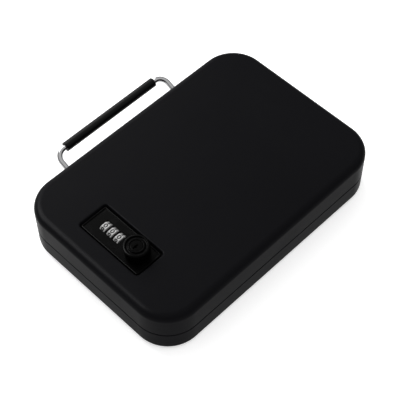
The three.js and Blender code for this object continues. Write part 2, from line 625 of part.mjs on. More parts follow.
// A comb of spring steel on the housing's inner wall, one finger on each wheel.
function dialDetentSpring() {
  const wallSide = HOUSING_INNER_Y - SEAT_GAP;
  const low = HOUSING_FLOOR + SEAT_GAP;
  const half = DIAL_GROUP / 2;
  const foot = block([GROUP_X - half, wallSide - SPRING_LEAF_SHEET, low],
    [GROUP_X + half, wallSide, low + SPRING_LEAF_FOOT]);
  const fingerHalf = SPRING_FINGER_WIDTH / 2;
  const reach = DIAL_RADIUS + SEAT_GAP;
  const fingers = dialPlaces().flatMap((x) => [
    block([x - fingerHalf, wallSide - SPRING_LEAF_SHEET, low],
      [x + fingerHalf, wallSide, DIAL_AXLE_Z + SPRING_LEAF_SHEET]),
    block([x - fingerHalf, reach, DIAL_AXLE_Z - SPRING_LEAF_SHEET],
      [x + fingerHalf, wallSide, DIAL_AXLE_Z + SPRING_LEAF_SHEET]),
  ]);
  return join(foot, ...fingers).translate(0, LOCK_Y, 0);
}

// A toothed bar along the dials, with its teeth at the gates. Its hook goes round the reset spring to the
// far side of the spindle's collar, so that the collar can push the teeth only towards the gates.
function lockingBar() {
  const back = SEAT_GAP - HOUSING_INNER_Y;
  const low = DIAL_AXLE_Z - BAR_HEIGHT / 2;
  const high = DIAL_AXLE_Z + BAR_HEIGHT / 2;
  const start = GROUP_X - DIAL_GROUP / 2;
  const spine = block([start, back, low], [HOOK_X + BAR_SHEET, back + BAR_SHEET, high]);
  const toothHalf = GATE_WIDTH / 2 - SEAT_GAP;
  const teeth = dialPlaces().map((x) => block(
    [x + FLANGE_LOW, back, DIAL_AXLE_Z - toothHalf],
    [x + FLANGE_HIGH, -FLANGE_RADIUS - RUNNING_GAP, DIAL_AXLE_Z + toothHalf]));
  const pawlHalf = COLLAR_NOTCH_WIDTH / 2 - SEAT_GAP;
  const far = HOOK_Y + BAR_SHEET;
  const arm = block([HOOK_X, back, low], [HOOK_X + BAR_SHEET, far, high]);
  const reach = block([HOOK_X, HOOK_Y, low], [KNOB_X + pawlHalf, far, high]);
  const pawl = block([KNOB_X - pawlHalf, COLLAR_RADIUS + RUNNING_GAP, Math.max(low, COLLAR_BOTTOM)],
    [KNOB_X + pawlHalf, far, Math.min(high, COLLAR_TOP)]);
  return join(spine, ...teeth, arm, reach, pawl).translate(0, LOCK_Y, 0);
}

function turnKnob() {
  const bore = SPINDLE_RADIUS + SEAT_GAP;
  const plugBore = PLUG_RADIUS + SEAT_GAP;
  const shoulder = KNOB_HEIGHT - KNOB_EDGE;
  const rimInner = KNOB_RADIUS - KNOB_EDGE - KNOB_RIM;
  const valley = KNOB_HEIGHT - KNOB_VALLEY_DEPTH;
  const slope = KNOB_VALLEY_DEPTH / 2;
  const rounding = KNOB_EDGE * (1 - Math.SQRT1_2);
  const profile = [[bore, 0], [KNOB_RADIUS, 0], [KNOB_RADIUS, shoulder],
    [KNOB_RADIUS - rounding, KNOB_HEIGHT - rounding], [KNOB_RADIUS - KNOB_EDGE, KNOB_HEIGHT],
    [rimInner, KNOB_HEIGHT], [rimInner - slope, valley], [KNOB_HUB_RADIUS + slope, valley],
    [KNOB_HUB_RADIUS, KNOB_HEIGHT], [plugBore, KNOB_HEIGHT], [plugBore, PLUG_SEAT], [bore, PLUG_SEAT],
    [bore, 0]];
  return turned(profile, KNOB_STEPS).translate(KNOB_X, LOCK_Y, KNOB_BOTTOM);
}

function keyPlug() {
  const top = KNOB_TOP - SEAT_GAP;
  const body = rod(PLUG_RADIUS, KNOB_BOTTOM + PLUG_SEAT + SEAT_GAP, top, ROUND_STEPS);
  const slot = block([-KEY_SLOT_WIDTH / 2, -KEY_SLOT_LENGTH / 2, top - KEY_SLOT_DEPTH],
    [KEY_SLOT_WIDTH / 2, KEY_SLOT_LENGTH / 2, top + SEAT_GAP]);
  return cut(body, slot).translate(KNOB_X, LOCK_Y, 0);
}

// A round spindle with a collar in the housing, notched for the bar at both ends of the knob's turn, and
// a square stub for the cam.
function knobSpindle() {
  const top = KNOB_BOTTOM + PLUG_SEAT;
  const shoulder = CAM_TOP + SEAT_GAP;
  const shaft = turned([[0, shoulder], [SPINDLE_RADIUS, shoulder], [SPINDLE_RADIUS, COLLAR_BOTTOM],
    [COLLAR_RADIUS, COLLAR_BOTTOM], [COLLAR_RADIUS, COLLAR_TOP], [SPINDLE_RADIUS, COLLAR_TOP],
    [SPINDLE_RADIUS, top], [0, top]], ROUND_STEPS);
  const half = STUB_SIDE / 2;
  const stub = block([-half, -half, CAM_BOTTOM + SEAT_GAP], [half, half, shoulder + SHEET]);
  const notchHalf = COLLAR_NOTCH_WIDTH / 2;
  const notchInner = COLLAR_RADIUS - COLLAR_NOTCH_DEPTH;
  const notches = [0, THREE.MathUtils.degToRad(KNOB_TURN_DEG)].map((turn) => block(
    [-notchHalf, notchInner, COLLAR_BOTTOM - SHEET],
    [notchHalf, COLLAR_RADIUS + SHEET, COLLAR_TOP + SHEET]).rotateZ(turn));
  const screwHole = rod(CAM_SCREW_RADIUS + SEAT_GAP, CAM_BOTTOM - SHEET, CAM_BOTTOM + CAM_SCREW_GRIP);
  return cut(join(shaft, stub), ...notches, screwHole).translate(KNOB_X, LOCK_Y, 0);
}

// A flat arm on the spindle's square; it points to +X when unlocked and to -Y when locked.
function latchCam() {
  const half = CAM_ARM_WIDTH / 2;
  const start = Math.asin(half / CAM_HUB_RADIUS);
  const shape = new THREE.Shape();
  shape.absarc(0, 0, CAM_HUB_RADIUS, start, 2 * Math.PI - start);
  shape.absarc(CAM_REACH - half, 0, half, -Math.PI / 2, Math.PI / 2);
  const holeHalf = STUB_SIDE / 2 + SEAT_GAP;
  const hole = block([-holeHalf, -holeHalf, CAM_BOTTOM - SHEET], [holeHalf, holeHalf, CAM_TOP + SHEET]);
  return cut(prism(shape, CAM_BOTTOM, CAM_TOP), hole).translate(KNOB_X, LOCK_Y, 0);
}

function camWasher() {
  const top = CAM_BOTTOM - SEAT_GAP;
  return tube(CAM_SCREW_RADIUS + SEAT_GAP, WASHER_RADIUS, top - WASHER_THICKNESS, top)
    .translate(KNOB_X, LOCK_Y, 0);
}

function camScrew() {
  const headTop = CAM_BOTTOM - WASHER_THICKNESS - 2 * SEAT_GAP;
  const tip = CAM_BOTTOM + CAM_SCREW_GRIP - SEAT_GAP;
  const headBottom = headTop - CAM_SCREW_HEAD;
  const profile = [[0, headBottom], [CAM_SCREW_HEAD_RADIUS * HEAD_CROWN, headBottom],
    [CAM_SCREW_HEAD_RADIUS, headTop - CAM_SCREW_HEAD / 2], [CAM_SCREW_HEAD_RADIUS, headTop],
    [CAM_SCREW_RADIUS, headTop], [CAM_SCREW_RADIUS, tip], [0, tip]];
  return turned(profile, ROUND_STEPS).translate(KNOB_X, LOCK_Y, 0);
}

function resetButton() {
  const low = HOUSING_BOTTOM - RESET_PROUD;
  const flangeLow = HOUSING_FLOOR + SEAT_GAP;
  const flangeHigh = flangeLow + RESET_FLANGE;
  const profile = [[0, low], [RESET_PIN_RADIUS, low], [RESET_PIN_RADIUS, flangeLow],
    [RESET_FLANGE_RADIUS, flangeLow], [RESET_FLANGE_RADIUS, flangeHigh], [RESET_STUB_RADIUS, flangeHigh],
    [RESET_STUB_RADIUS, flangeHigh + RESET_STUB_LENGTH], [0, flangeHigh + RESET_STUB_LENGTH]];
  return turned(profile, SMALL_ROUND_STEPS).translate(RESET_X, LOCK_Y + RESET_OFFSET_Y, 0);
}

// A curve through listed points that is sampled exactly at them, so that straight runs stay long.
class RoutedCurve extends THREE.Curve {
  constructor(points) {
    super();
    this.points = points;
  }

  getPoint(t, target = new THREE.Vector3()) {
    const place = t * (this.points.length - 1);
    const k = Math.min(Math.floor(place), this.points.length - 2);
    return target.lerpVectors(this.points[k], this.points[k + 1], place - k);
  }

  getUtoTmapping(u) {
    return u;
  }
}

// A round wire along a list of points.
function wire(points, radius, sides) {
  const section = new THREE.Shape();
  for (let k = 0; k < sides; k += 1) {
    const angle = 2 * Math.PI * k / sides;
    const x = radius * Math.cos(angle);
    const y = radius * Math.sin(angle);
    if (k === 0) section.moveTo(x, y);
    else section.lineTo(x, y);
  }
  return new THREE.ExtrudeGeometry(section, { steps: points.length - 1, bevelEnabled: false,
    extrudePath: new RoutedCurve(points) });
}

// A helix from the button's flange up to the underside of the lid's pocket.
function resetSpring() {
  const low = HOUSING_FLOOR + RESET_FLANGE + 2 * SEAT_GAP + RESET_WIRE_RADIUS;
  const high = POCKET_UNDERSIDE - SEAT_GAP - RESET_WIRE_RADIUS;
  const steps = RESET_SPRING_TURNS * SPRING_STEPS;
  const points = Array.from({ length: steps + 1 }, (unused, k) => {
    const angle = 2 * Math.PI * RESET_SPRING_TURNS * k / steps;
    return new THREE.Vector3(RESET_SPRING_RADIUS * Math.cos(angle), RESET_SPRING_RADIUS * Math.sin(angle),
      low + (high - low) * k / steps);
  });
  return wire(points, RESET_WIRE_RADIUS, SPRING_SIDES).translate(RESET_X, LOCK_Y + RESET_OFFSET_Y, 0);
}

// A strap over one trunnion, riveted below it, with a tab under the leg that stops the bail above the table.
function bailBracket(end) {
  const wall = SEAT_GAP;
  const axis = BAIL_STAND_OFF;
  const flangeEnd = BRACKET_OUTER + BRACKET_FLANGE;
  const strap = new THREE.Shape();
  strap.moveTo(wall, -flangeEnd);
  strap.lineTo(wall, -BRACKET_BORE);
  strap.lineTo(axis, -BRACKET_BORE);
  strap.absarc(axis, 0, BRACKET_BORE, -Math.PI / 2, Math.PI / 2);
  strap.lineTo(wall, BRACKET_BORE);
  strap.lineTo(wall, BRACKET_OUTER + BRACKET_LIP);
  strap.lineTo(wall + BRACKET_SHEET, BRACKET_OUTER + BRACKET_LIP);
  strap.lineTo(wall + BRACKET_SHEET, BRACKET_OUTER);
  strap.lineTo(axis, BRACKET_OUTER);
  strap.absarc(axis, 0, BRACKET_OUTER, Math.PI / 2, -Math.PI / 2, true);
  strap.lineTo(wall + BRACKET_SHEET, -BRACKET_OUTER);
  strap.lineTo(wall + BRACKET_SHEET, -flangeEnd);
  const half = BRACKET_WIDTH / 2;
  // The strap's outline is drawn outwards and up, then laid along Y on the -X wall.
  const loop = prism(strap, -half, half).rotateX(Math.PI / 2).rotateZ(Math.PI);
  const lowest = THREE.MathUtils.degToRad(-BAIL_LOWEST_DEG);
  const legDrop = (STOP_TAB_REACH - axis) * Math.sin(lowest);
  const tabTop = -(BAIL_WIRE_RADIUS + SEAT_GAP + legDrop) / Math.cos(lowest);
  const legStart = BAIL_LEG_Y - STOP_TAB_WIDTH / 2 - BRACKET_Y;
  const legEnd = legStart + STOP_TAB_WIDTH;
  const outward = (low, high, y0, y1, z0, z1) => block([-high, Math.min(end * y0, end * y1), z0],
    [-low, Math.max(end * y0, end * y1), z1]);
  const tab = outward(wall, STOP_TAB_REACH, legStart, legEnd, tabTop - BRACKET_SHEET, tabTop);
  const apron = outward(wall, wall + BRACKET_SHEET, 0, legEnd, -flangeEnd, -BRACKET_OUTER);
  const hole = BRACKET_RIVET_RADIUS + SEAT_GAP;
  const holes = [-1, 1].map((side) => alongX(rod(hole, -axis - BRACKET_OUTER, axis))
    .translate(0, side * BRACKET_RIVET_SPACING / 2, -RIVET_DROP));
  return cut(join(loop, apron, tab), ...holes).translate(SIDE_X, end * BRACKET_Y, BAIL_PIVOT_HEIGHT);
}

function bracketRivet(y, z) {
  const outer = SEAT_GAP + BRACKET_SHEET + SEAT_GAP;
  const inner = SHEET + SEAT_GAP;
  const outerTop = -outer - BRACKET_RIVET_HEAD;
  const profile = [[0, outerTop], [BRACKET_RIVET_HEAD_RADIUS * HEAD_CROWN, outerTop],
    [BRACKET_RIVET_HEAD_RADIUS, -outer - BRACKET_RIVET_HEAD / 2], [BRACKET_RIVET_HEAD_RADIUS, -outer],
    [BRACKET_RIVET_RADIUS, -outer], [BRACKET_RIVET_RADIUS, inner], [BRACKET_RIVET_HEAD_RADIUS, inner],
    [BRACKET_RIVET_HEAD_RADIUS, inner + BRACKET_RIVET_HEAD / 2], [0, inner + BRACKET_RIVET_HEAD]];
  return alongX(turned(profile, SMALL_ROUND_STEPS)).translate(SIDE_X, y, z);
}

// Points round a quarter bend, from one direction to the next.
function bend(centre, from, to, radius) {
  return Array.from({ length: BEND_STEPS }, (unused, k) => {
    const angle = Math.PI / 2 * k / (BEND_STEPS - 1);
    return new THREE.Vector3().copy(centre).addScaledVector(from, radius * Math.cos(angle))
      .addScaledVector(to, radius * Math.sin(angle));
  });
}

// The bail lies in its own XY plane, with its trunnions on the Y axis and its legs along -X.
function handleBail() {
  const out = new THREE.Vector3(-1, 0, 0);
  const back = new THREE.Vector3(1, 0, 0);
  const along = new THREE.Vector3(0, 1, 0);
  const foot = BAIL_FOOT_BEND_RADIUS;
  const half = [
    new THREE.Vector3(0, BAIL_LEG_Y - foot - BAIL_TRUNNION_LENGTH, 0),
    ...bend(new THREE.Vector3(-foot, BAIL_LEG_Y - foot, 0), back, along, foot),
    ...bend(new THREE.Vector3(BAIL_BEND_RADIUS - BAIL_REACH, BAIL_LEG_Y - BAIL_BEND_RADIUS, 0),
      along, out, BAIL_BEND_RADIUS),
  ];
  const other = half.map((point) => new THREE.Vector3(point.x, -point.y, point.z)).reverse();
  return wire([...half, ...other], BAIL_WIRE_RADIUS, WIRE_STEPS);
}

function handleGrip() {
  const half = GRIP_LENGTH / 2;
  const bore = BAIL_WIRE_RADIUS + SEAT_GAP;
  const profile = [[bore, -half], [GRIP_RADIUS - GRIP_EDGE, -half], [GRIP_RADIUS, GRIP_EDGE - half],
    [GRIP_RADIUS, half - GRIP_EDGE], [GRIP_RADIUS - GRIP_EDGE, half], [bore, half], [bore, -half]];
  return turned(profile, ROUND_STEPS).rotateX(Math.PI / 2).translate(-BAIL_REACH, 0, 0);
}

function baseFoamPad() {
  return prism(caseOutline(FOAM_INSET), SHEET + SEAT_GAP, BASE_FOAM_TOP);
}

function lidFoamPad() {
  const start = PLATE_Y + POCKET_LENGTH / 2 + SHEET + LID_FOAM_LOCK_GAP;
  const end = BACK_Y - FOAM_INSET;
  const pad = prism(roundedRectangle(WIDTH - 2 * FOAM_INSET, end - start, CORNER_RADIUS - FOAM_INSET),
    LID_FOAM_TOP - LID_FOAM_THICKNESS, LID_FOAM_TOP);
  return pad.translate(0, (start + end) / 2, 0);
}

// Base
add('base_shell', baseShell(), blackPaint);
add('strike_plate', strikePlate(), bareSteel);
add('hinge_leaf_base', hingeLeaf(0, false), bareSteel);
add('hinge_pin', hingePin(), bareSteel);
add('bail_bracket_front', bailBracket(-1), chrome);
add('bail_bracket_rear', bailBracket(1), chrome);
bracketRivetPlaces().forEach(([y, z], k) => add(`bail_bracket_rivet_${k + 1}`, bracketRivet(y, z), chrome));
add('base_foam_pad', baseFoamPad(), foam);

// Lid and what is fixed in it
add('lid_shell', lidShell(), blackPaint);
add('hinge_leaf_lid', hingeLeaf(1, true), bareSteel);
add('lid_foam_pad', lidFoamPad(), foam);
add('lock_bezel', lockBezel(), blackZinc);
add('lock_housing', lockHousing(), blackZinc);
screwPlaces().forEach(([x, y], k) => add(`lock_screw_${k + 1}`, lockScrew(x, y), bareSteel));
add('dial_axle', dialAxle(), bareSteel);
add('dial_detent_spring', dialDetentSpring(), bareSteel);
add('locking_bar', lockingBar(), bareSteel);

// Dials
dialPlaces().forEach((x, k) => {
  add(`dial_${k + 1}`, dialWheel(x), dialMetal);
  add(`code_sleeve_${k + 1}`, codeSleeve(x), brass);
});

// Knob and what turns with it
add('turn_knob', turnKnob(), blackZinc);
add('knob_spindle', knobSpindle(), bareSteel);
add('latch_cam', latchCam(), bareSteel);
add('cam_washer', camWasher(), bareSteel);
add('cam_screw', camScrew(), bareSteel);
add('key_plug', keyPlug(), blackZinc);

// Code reset button
add('reset_button', resetButton(), brass);
add('reset_spring', resetSpring(), bareSteel);

// Bail, raised from level by its rest angle
const bail = new THREE.Group();
bail.position.set(SIDE_X - BAIL_STAND_OFF, 0, BAIL_PIVOT_HEIGHT);
bail.rotation.y = THREE.MathUtils.degToRad(BAIL_REST_DEG);
group.add(bail);
add('handle_bail', handleBail(), chrome, bail);
add('handle_grip', handleGrip(), gripRubber, bail);

export default group;
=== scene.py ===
# Looks of the medication lock box: a flat pressed-steel case with a dial lock in its lid and a bail.
# Metres. X is across the case, Y runs from the lock end to the hinge end, and Z is up.

import json
import math

import bmesh
import bpy
from mathutils import Matrix, Vector


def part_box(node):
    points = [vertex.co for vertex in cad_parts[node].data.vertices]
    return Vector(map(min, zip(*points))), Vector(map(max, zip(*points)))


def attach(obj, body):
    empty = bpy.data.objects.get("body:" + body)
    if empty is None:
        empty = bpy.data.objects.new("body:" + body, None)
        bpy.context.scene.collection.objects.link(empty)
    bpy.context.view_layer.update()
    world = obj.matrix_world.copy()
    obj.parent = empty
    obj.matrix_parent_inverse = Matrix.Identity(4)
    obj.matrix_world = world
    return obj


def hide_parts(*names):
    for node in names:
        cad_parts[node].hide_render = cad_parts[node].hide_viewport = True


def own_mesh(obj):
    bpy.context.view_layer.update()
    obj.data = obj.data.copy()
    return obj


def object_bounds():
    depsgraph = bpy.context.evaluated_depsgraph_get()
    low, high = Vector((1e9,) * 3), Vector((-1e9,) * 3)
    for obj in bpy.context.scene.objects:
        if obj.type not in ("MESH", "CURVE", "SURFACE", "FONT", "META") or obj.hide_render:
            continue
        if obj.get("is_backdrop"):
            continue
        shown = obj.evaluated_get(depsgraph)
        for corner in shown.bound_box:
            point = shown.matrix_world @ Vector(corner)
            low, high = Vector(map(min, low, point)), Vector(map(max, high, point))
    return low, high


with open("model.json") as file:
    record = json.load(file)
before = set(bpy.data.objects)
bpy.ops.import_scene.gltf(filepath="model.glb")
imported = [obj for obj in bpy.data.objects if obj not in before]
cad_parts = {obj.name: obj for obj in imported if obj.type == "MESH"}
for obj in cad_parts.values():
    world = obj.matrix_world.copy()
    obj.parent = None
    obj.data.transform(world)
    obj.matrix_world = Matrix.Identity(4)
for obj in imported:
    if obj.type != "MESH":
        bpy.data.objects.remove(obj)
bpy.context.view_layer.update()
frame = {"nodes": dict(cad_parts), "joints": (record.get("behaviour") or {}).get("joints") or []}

# Base shell
# The lower half of the case, pressed from steel sheet with rounded corners and a rounded bottom edge.
# A lip welded inside its rim stands up behind the seam. It is powder coated satin black.

MM = 0.001
SHEET = 1.2 * MM
SEAT_GAP = 0.3 * MM
RUNNING_GAP = 0.4 * MM
SEAM_GAP = 0.6 * MM
CASE_CORNER = 30 * MM
BASE_EDGE = 6 * MM
LIP_SHEET = 1.2 * MM
LIP_INSET = SHEET + RUNNING_GAP
SHOULDER_DROP = 3.5 * MM
RIVET_COUNT = 4
RIVET_HOLE = 1.4 * MM
CORNER_STEPS = 24
RIM_EASE = 0.35 * MM
SEAM_EASE = 0.7 * MM
FINE_EASE = 0.2 * MM
TIGHT_EASE = 0.15 * MM
ROUND_PLAY = 0.01 * MM
SMALLEST_CORNER = 0.1 * MM
SHARP_ANGLE = math.radians(32)

base_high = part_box("base_shell")[1]
lid_low, lid_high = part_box("lid_shell")
pin_low, pin_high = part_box("hinge_pin")
leaf_low, leaf_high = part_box("hinge_leaf_base")
strike_low, strike_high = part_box("strike_plate")
half_x = base_high.x
half_y = base_high.y
seam = lid_low.z - SEAM_GAP / 2
rim = seam - SEAM_GAP / 2
hinge_half = pin_high.x + SEAT_GAP
knuckle_radius = leaf_high.y - half_y


def eased(corners, steps):
    """A flat profile of (across, up) corners. A corner with a third value is rounded to that radius."""
    points = []
    for k, corner in enumerate(corners):
        here = Vector(corner[:2])
        if len(corner) == 2:
            points.append(here)
            continue
        to_last = (Vector(corners[k - 1][:2]) - here).normalized()
        to_next = (Vector(corners[(k + 1) % len(corners)][:2]) - here).normalized()
        half = to_last.angle(to_next) / 2
        middle = here + (to_last + to_next).normalized() * (corner[2] / math.sin(half))
        first = here + to_last * (corner[2] / math.tan(half)) - middle
        last = here + to_next * (corner[2] / math.tan(half)) - middle
        points += [middle + first.slerp(last, step / steps) * corner[2] for step in range(steps + 1)]
    return points


def rounded_outline(x, y, radius, steps):
    """Points round a rounded rectangle with half sides x and y."""
    points = []
    for quarter, (side, end) in enumerate([(1, 1), (-1, 1), (-1, -1), (1, -1)]):
        for step in range(steps + 1):
            angle = (quarter + step / steps) * math.pi / 2
            points.append((side * (x - radius) + radius * math.cos(angle),
                           end * (y - radius) + radius * math.sin(angle)))
    return points


def linked(name, data):
    """A new object in the scene."""
    holder = bpy.data.objects.new(name, data)
    bpy.context.scene.collection.objects.link(holder)
    return holder


def as_piece(name, made):
    """A smooth-shaded object from a bmesh, with its sharper edges kept crisp."""
    bmesh.ops.recalc_face_normals(made, faces=made.faces)
    mesh = bpy.data.meshes.new(name)
    made.to_mesh(mesh)
    made.free()
    mesh.polygons.foreach_set("use_smooth", [True] * len(mesh.polygons))
    mesh.set_sharp_from_angle(angle=SHARP_ANGLE)
    return linked(name, mesh)


def skinned(name, rings):
    """A closed skin over rings of equally many points, flat at both ends."""
    made = bmesh.new()
    rings = [[made.verts.new(place) for place in ring] for ring in rings]
    for lower, upper in zip(rings, rings[1:]):
        for k in range(len(lower)):
            after = (k + 1) % len(lower)
            made.faces.new((lower[k], lower[after], upper[after], upper[k]))
    made.faces.new(reversed(rings[0]))
    made.faces.new(rings[-1])
    return as_piece(name, made)


def pressed(name, corners, x, y, radius, steps=CORNER_STEPS, ease_steps=5):
    """A solid whose (inset, height) profile follows a rounded rectangle."""
    rings = []
    for inset, height in eased(corners, ease_steps):
        outline = rounded_outline(x - inset, y - inset, max(radius - inset, SMALLEST_CORNER), steps)
        rings.append([(px, py, height) for px, py in outline])
    return skinned(name, rings)


def block(name, low, high):
    """A box between two corners."""
    made = bmesh.new()
    bmesh.ops.create_cube(made, size=1)
    size = Vector(high) - Vector(low)
    middle = (Vector(high) + Vector(low)) / 2
    made.transform(Matrix.Translation(middle) @ Matrix.Diagonal((*size, 1)))
    return as_piece(name, made)


def slab(name, x, y, low, high):
    """A box centred on the Z axis with half sides x and y, between two heights."""
    return block(name, (-x, -y, low), (x, y, high))


def turned(name, corners, steps=64, ease_steps=5):
    """A (radius, height) profile turned round Z, open on the axis or else closed on itself."""
    made = bmesh.new()
    rings = []
    for radius, height in eased(corners, ease_steps):
        if radius < MM / 1000:
            rings.append([made.verts.new((0, 0, height))] * steps)
            continue
        angles = [2 * math.pi * k / steps for k in range(steps)]
        rings.append([made.verts.new((radius * math.cos(a), radius * math.sin(a), height)) for a in angles])
    pairs = list(zip(rings, rings[1:]))
    if corners[0][0] > 0:
        pairs.append((rings[-1], rings[0]))
    for lower, upper in pairs:
        for k in range(steps):
            after = (k + 1) % steps
            face = dict.fromkeys((lower[k], lower[after], upper[after], upper[k]))
            if len(face) > 2:
                made.faces.new(tuple(face))
    return as_piece(name, made)


def sleeve(name, bore, radius, low, high, ease, steps=64, ease_steps=5):
    """A turned ring with its outer edges rounded."""
    edge = (ease,) if ease else ()
    return turned(name, [(bore, low), (radius, low, *edge), (radius, high, *edge), (bore, high)],
                  steps, ease_steps)


def rod(name, radius, low, high, steps=48):
    return sleeve(name, 0, radius, low, high, 0, steps)


def moved(piece, matrix):
    piece.data.transform(matrix)
    return piece


def shifted(piece, x, y, z):
    return moved(piece, Matrix.Translation((x, y, z)))


def along_x(piece):
    """Lays a piece that was made along Z so that it runs along +X."""
    return moved(piece, Matrix.Rotation(math.pi / 2, 4, "Y"))


def over(piece, low, high):
    """Moves a piece from the Z axis over the middle of a box."""
    return shifted(piece, (low.x + high.x) / 2, (low.y + high.y) / 2, 0)


def level_with(piece, low, high):
    """Moves a piece from the X axis to the middle of a box."""
    return shifted(piece, 0, (low.y + high.y) / 2, (low.z + high.z) / 2)


def combined(piece, others, operation):
    """Cuts other pieces out of a piece, or joins them to it, and uses them up."""
    for other in others:
        step = piece.modifiers.new(operation.lower(), "BOOLEAN")
        step.operation = operation
        step.solver = "EXACT"
        step.object = other
    graph = bpy.context.evaluated_depsgraph_get()
    mesh = bpy.data.meshes.new_from_object(piece.evaluated_get(graph))
    piece.modifiers.clear()
    piece.data = mesh
    for other in others:
        bpy.data.objects.remove(other)
    mesh.set_sharp_from_angle(angle=SHARP_ANGLE)
    return piece


def cut(piece, *others):
    return combined(piece, others, "DIFFERENCE")


def joined(piece, *others):
    return combined(piece, others, "UNION")


def softened(piece, width, segments=2):
    """Breaks the piece's sharp edges, and shades its flats flat up to their rounded edges."""
    if width:
        bevel = piece.modifiers.new("broken_edges", "BEVEL")
        bevel.width = width
        bevel.segments = segments
        bevel.limit_method = "ANGLE"
        bevel.angle_limit = SHARP_ANGLE
        bevel.use_clamp_overlap = True
    shade = piece.modifiers.new("flat_faces_first", "WEIGHTED_NORMAL")
    shade.keep_sharp = True
    return piece


def dressed(piece, material, slot, body, *nodes):
    """Gives a piece its finish, seats it on its body and lets it stand for its CAD nodes."""
    piece.data.materials.clear()
    piece.data.materials.append(material)
    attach(piece, body)
    if nodes:
        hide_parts(*nodes)
    return piece


def effect(name, inputs, outputs):
    """An empty shader node group with a Place input and number sockets."""
    group = bpy.data.node_groups.new(name, "ShaderNodeTree")
    group.interface.new_socket(name="Place", in_out="INPUT", socket_type="NodeSocketVector")
    for label, value in inputs.items():
        socket = group.interface.new_socket(name=label, in_out="INPUT", socket_type="NodeSocketFloat")
        socket.default_value = value
    for label in outputs:
        group.interface.new_socket(name=label, in_out="OUTPUT", socket_type="NodeSocketFloat")
    return group, group.nodes.new("NodeGroupInput"), group.nodes.new("NodeGroupOutput")


def noise(tree, place, scale, detail, stretch=None):
    """A noise texture at a place, with its scale as a number or as a socket."""
    if stretch:
        squeeze = tree.nodes.new("ShaderNodeVectorMath")
        squeeze.operation = "MULTIPLY"
        squeeze.inputs[1].default_value = stretch
        tree.links.new(place, squeeze.inputs[0])
        place = squeeze.outputs["Vector"]
    texture = tree.nodes.new("ShaderNodeTexNoise")
    texture.inputs["Detail"].default_value = detail
    tree.links.new(place, texture.inputs["Vector"])
    if isinstance(scale, float):
        texture.inputs["Scale"].default_value = scale
    else:
        tree.links.new(scale, texture.inputs["Scale"])
    return texture.outputs["Fac"]


def ranged(tree, value, start, stop, kind="LINEAR"):
    """A number spread from one (number, result) pair to another."""
    spread = tree.nodes.new("ShaderNodeMapRange")
    spread.interpolation_type = kind
    for label, (number, result) in (("Min", start), ("Max", stop)):
        spread.inputs[f"From {label}"].default_value = number
        spread.inputs[f"To {label}"].default_value = result
    tree.links.new(value, spread.inputs["Value"])
    return spread.outputs["Result"]


def weighed(tree, first, second, share):
    """The sum of two numbers, with a share of the second and the rest of the first."""
    mix = tree.nodes.new("ShaderNodeMix")
    mix.inputs["Factor"].default_value = share
    tree.links.new(first, mix.inputs["A"])
    tree.links.new(second, mix.inputs["B"])
    return mix.outputs["Result"]


def coloured(tree, shader, factor, tones):
    """Colours the surface between a dark and a light tone, by a factor."""
    mix = tree.nodes.new("ShaderNodeMix")
    mix.data_type = "RGBA"
    mix.inputs["A"].default_value = (*tones[0], 1)
    mix.inputs["B"].default_value = (*tones[1], 1)
    tree.links.new(factor, mix.inputs["Factor"])
    tree.links.new(mix.outputs["Result"], shader.inputs["Base Color"])


def roughened(tree, shader, factor, low, high):
    """Makes the surface as rough as low to high, by a factor."""
    tree.links.new(ranged(tree, factor, (0, low), (1, high)), shader.inputs["Roughness"])


def new_finish(name, metallic=0.0, specular=0.5):
    """A material with its shader, and the place on the object that its textures read."""
    material = bpy.data.materials.new(name)
    material.use_nodes = True
    tree = material.node_tree
    shader = tree.nodes["Principled BSDF"]
    shader.inputs["Metallic"].default_value = metallic
    shader.inputs["Specular IOR Level"].default_value = specular
    place = tree.nodes.new("ShaderNodeTexCoord").outputs["Object"]
    return material, tree, shader, place


def placed(tree, group, place, **values):
    """A group node in a material, with its numbers."""
    node = tree.nodes.new("ShaderNodeGroup")
    node.node_tree = group
    tree.links.new(place, node.inputs["Place"])
    for label, value in values.items():
        node.inputs[label].default_value = value
    return node.outputs


def bumped(tree, shader, height, depth):
    """Raises the surface by a height of 0 to 1 times a depth in metres."""
    bump = tree.nodes.new("ShaderNodeBump")
    bump.inputs["Strength"].default_value = 1.0
    bump.inputs["Distance"].default_value = depth
    tree.links.new(height, bump.inputs["Height"])
    tree.links.new(bump.outputs["Normal"], shader.inputs["Normal"])


# Sprayed grain is the fine orange peel of a baked powder coat, with slow patches of thicker film.
sprayed_grain, start, end = effect("sprayed_grain", {"Grain": 1500.0, "Patches": 14.0}, ["Height", "Film"])
fine = noise(sprayed_grain, start.outputs["Place"], start.outputs["Grain"], 2)
broad = noise(sprayed_grain, start.outputs["Place"], start.outputs["Patches"], 3)
sprayed_grain.links.new(weighed(sprayed_grain, fine, broad, 0.25), end.inputs["Height"])
sprayed_grain.links.new(broad, end.inputs["Film"])

# Handling marks are the faint dull smudges that hands leave on a satin or glossy surface.
handling_marks, start, end = effect("handling_marks", {"Smudges": 30.0, "Edge": 0.56}, ["Mask"])
cloud = noise(handling_marks, start.outputs["Place"], start.outputs["Smudges"], 4)
mask = ranged(handling_marks, cloud, (0, 0), (0.75, 1), "SMOOTHSTEP")
handling_marks.links.new(start.outputs["Edge"], mask.node.inputs["From Min"])
handling_marks.links.new(mask, end.inputs["Mask"])

CASE_TONES = (0.0046, 0.0046, 0.0053), (0.0058, 0.0058, 0.0067)

case_paint, tree, shader, place = new_finish("case_paint", specular=0.011)
grain = placed(tree, sprayed_grain, place, Grain=1300.0, Patches=9.0)
marks = placed(tree, handling_marks, place, Smudges=22.0, Edge=0.55)
coloured(tree, shader, grain["Film"], CASE_TONES)
satin = weighed(tree, grain["Film"], marks["Mask"], 0.35)
roughened(tree, shader, satin, 0.28, 0.40)
bumped(tree, shader, grain["Height"], 0.05 * MM)

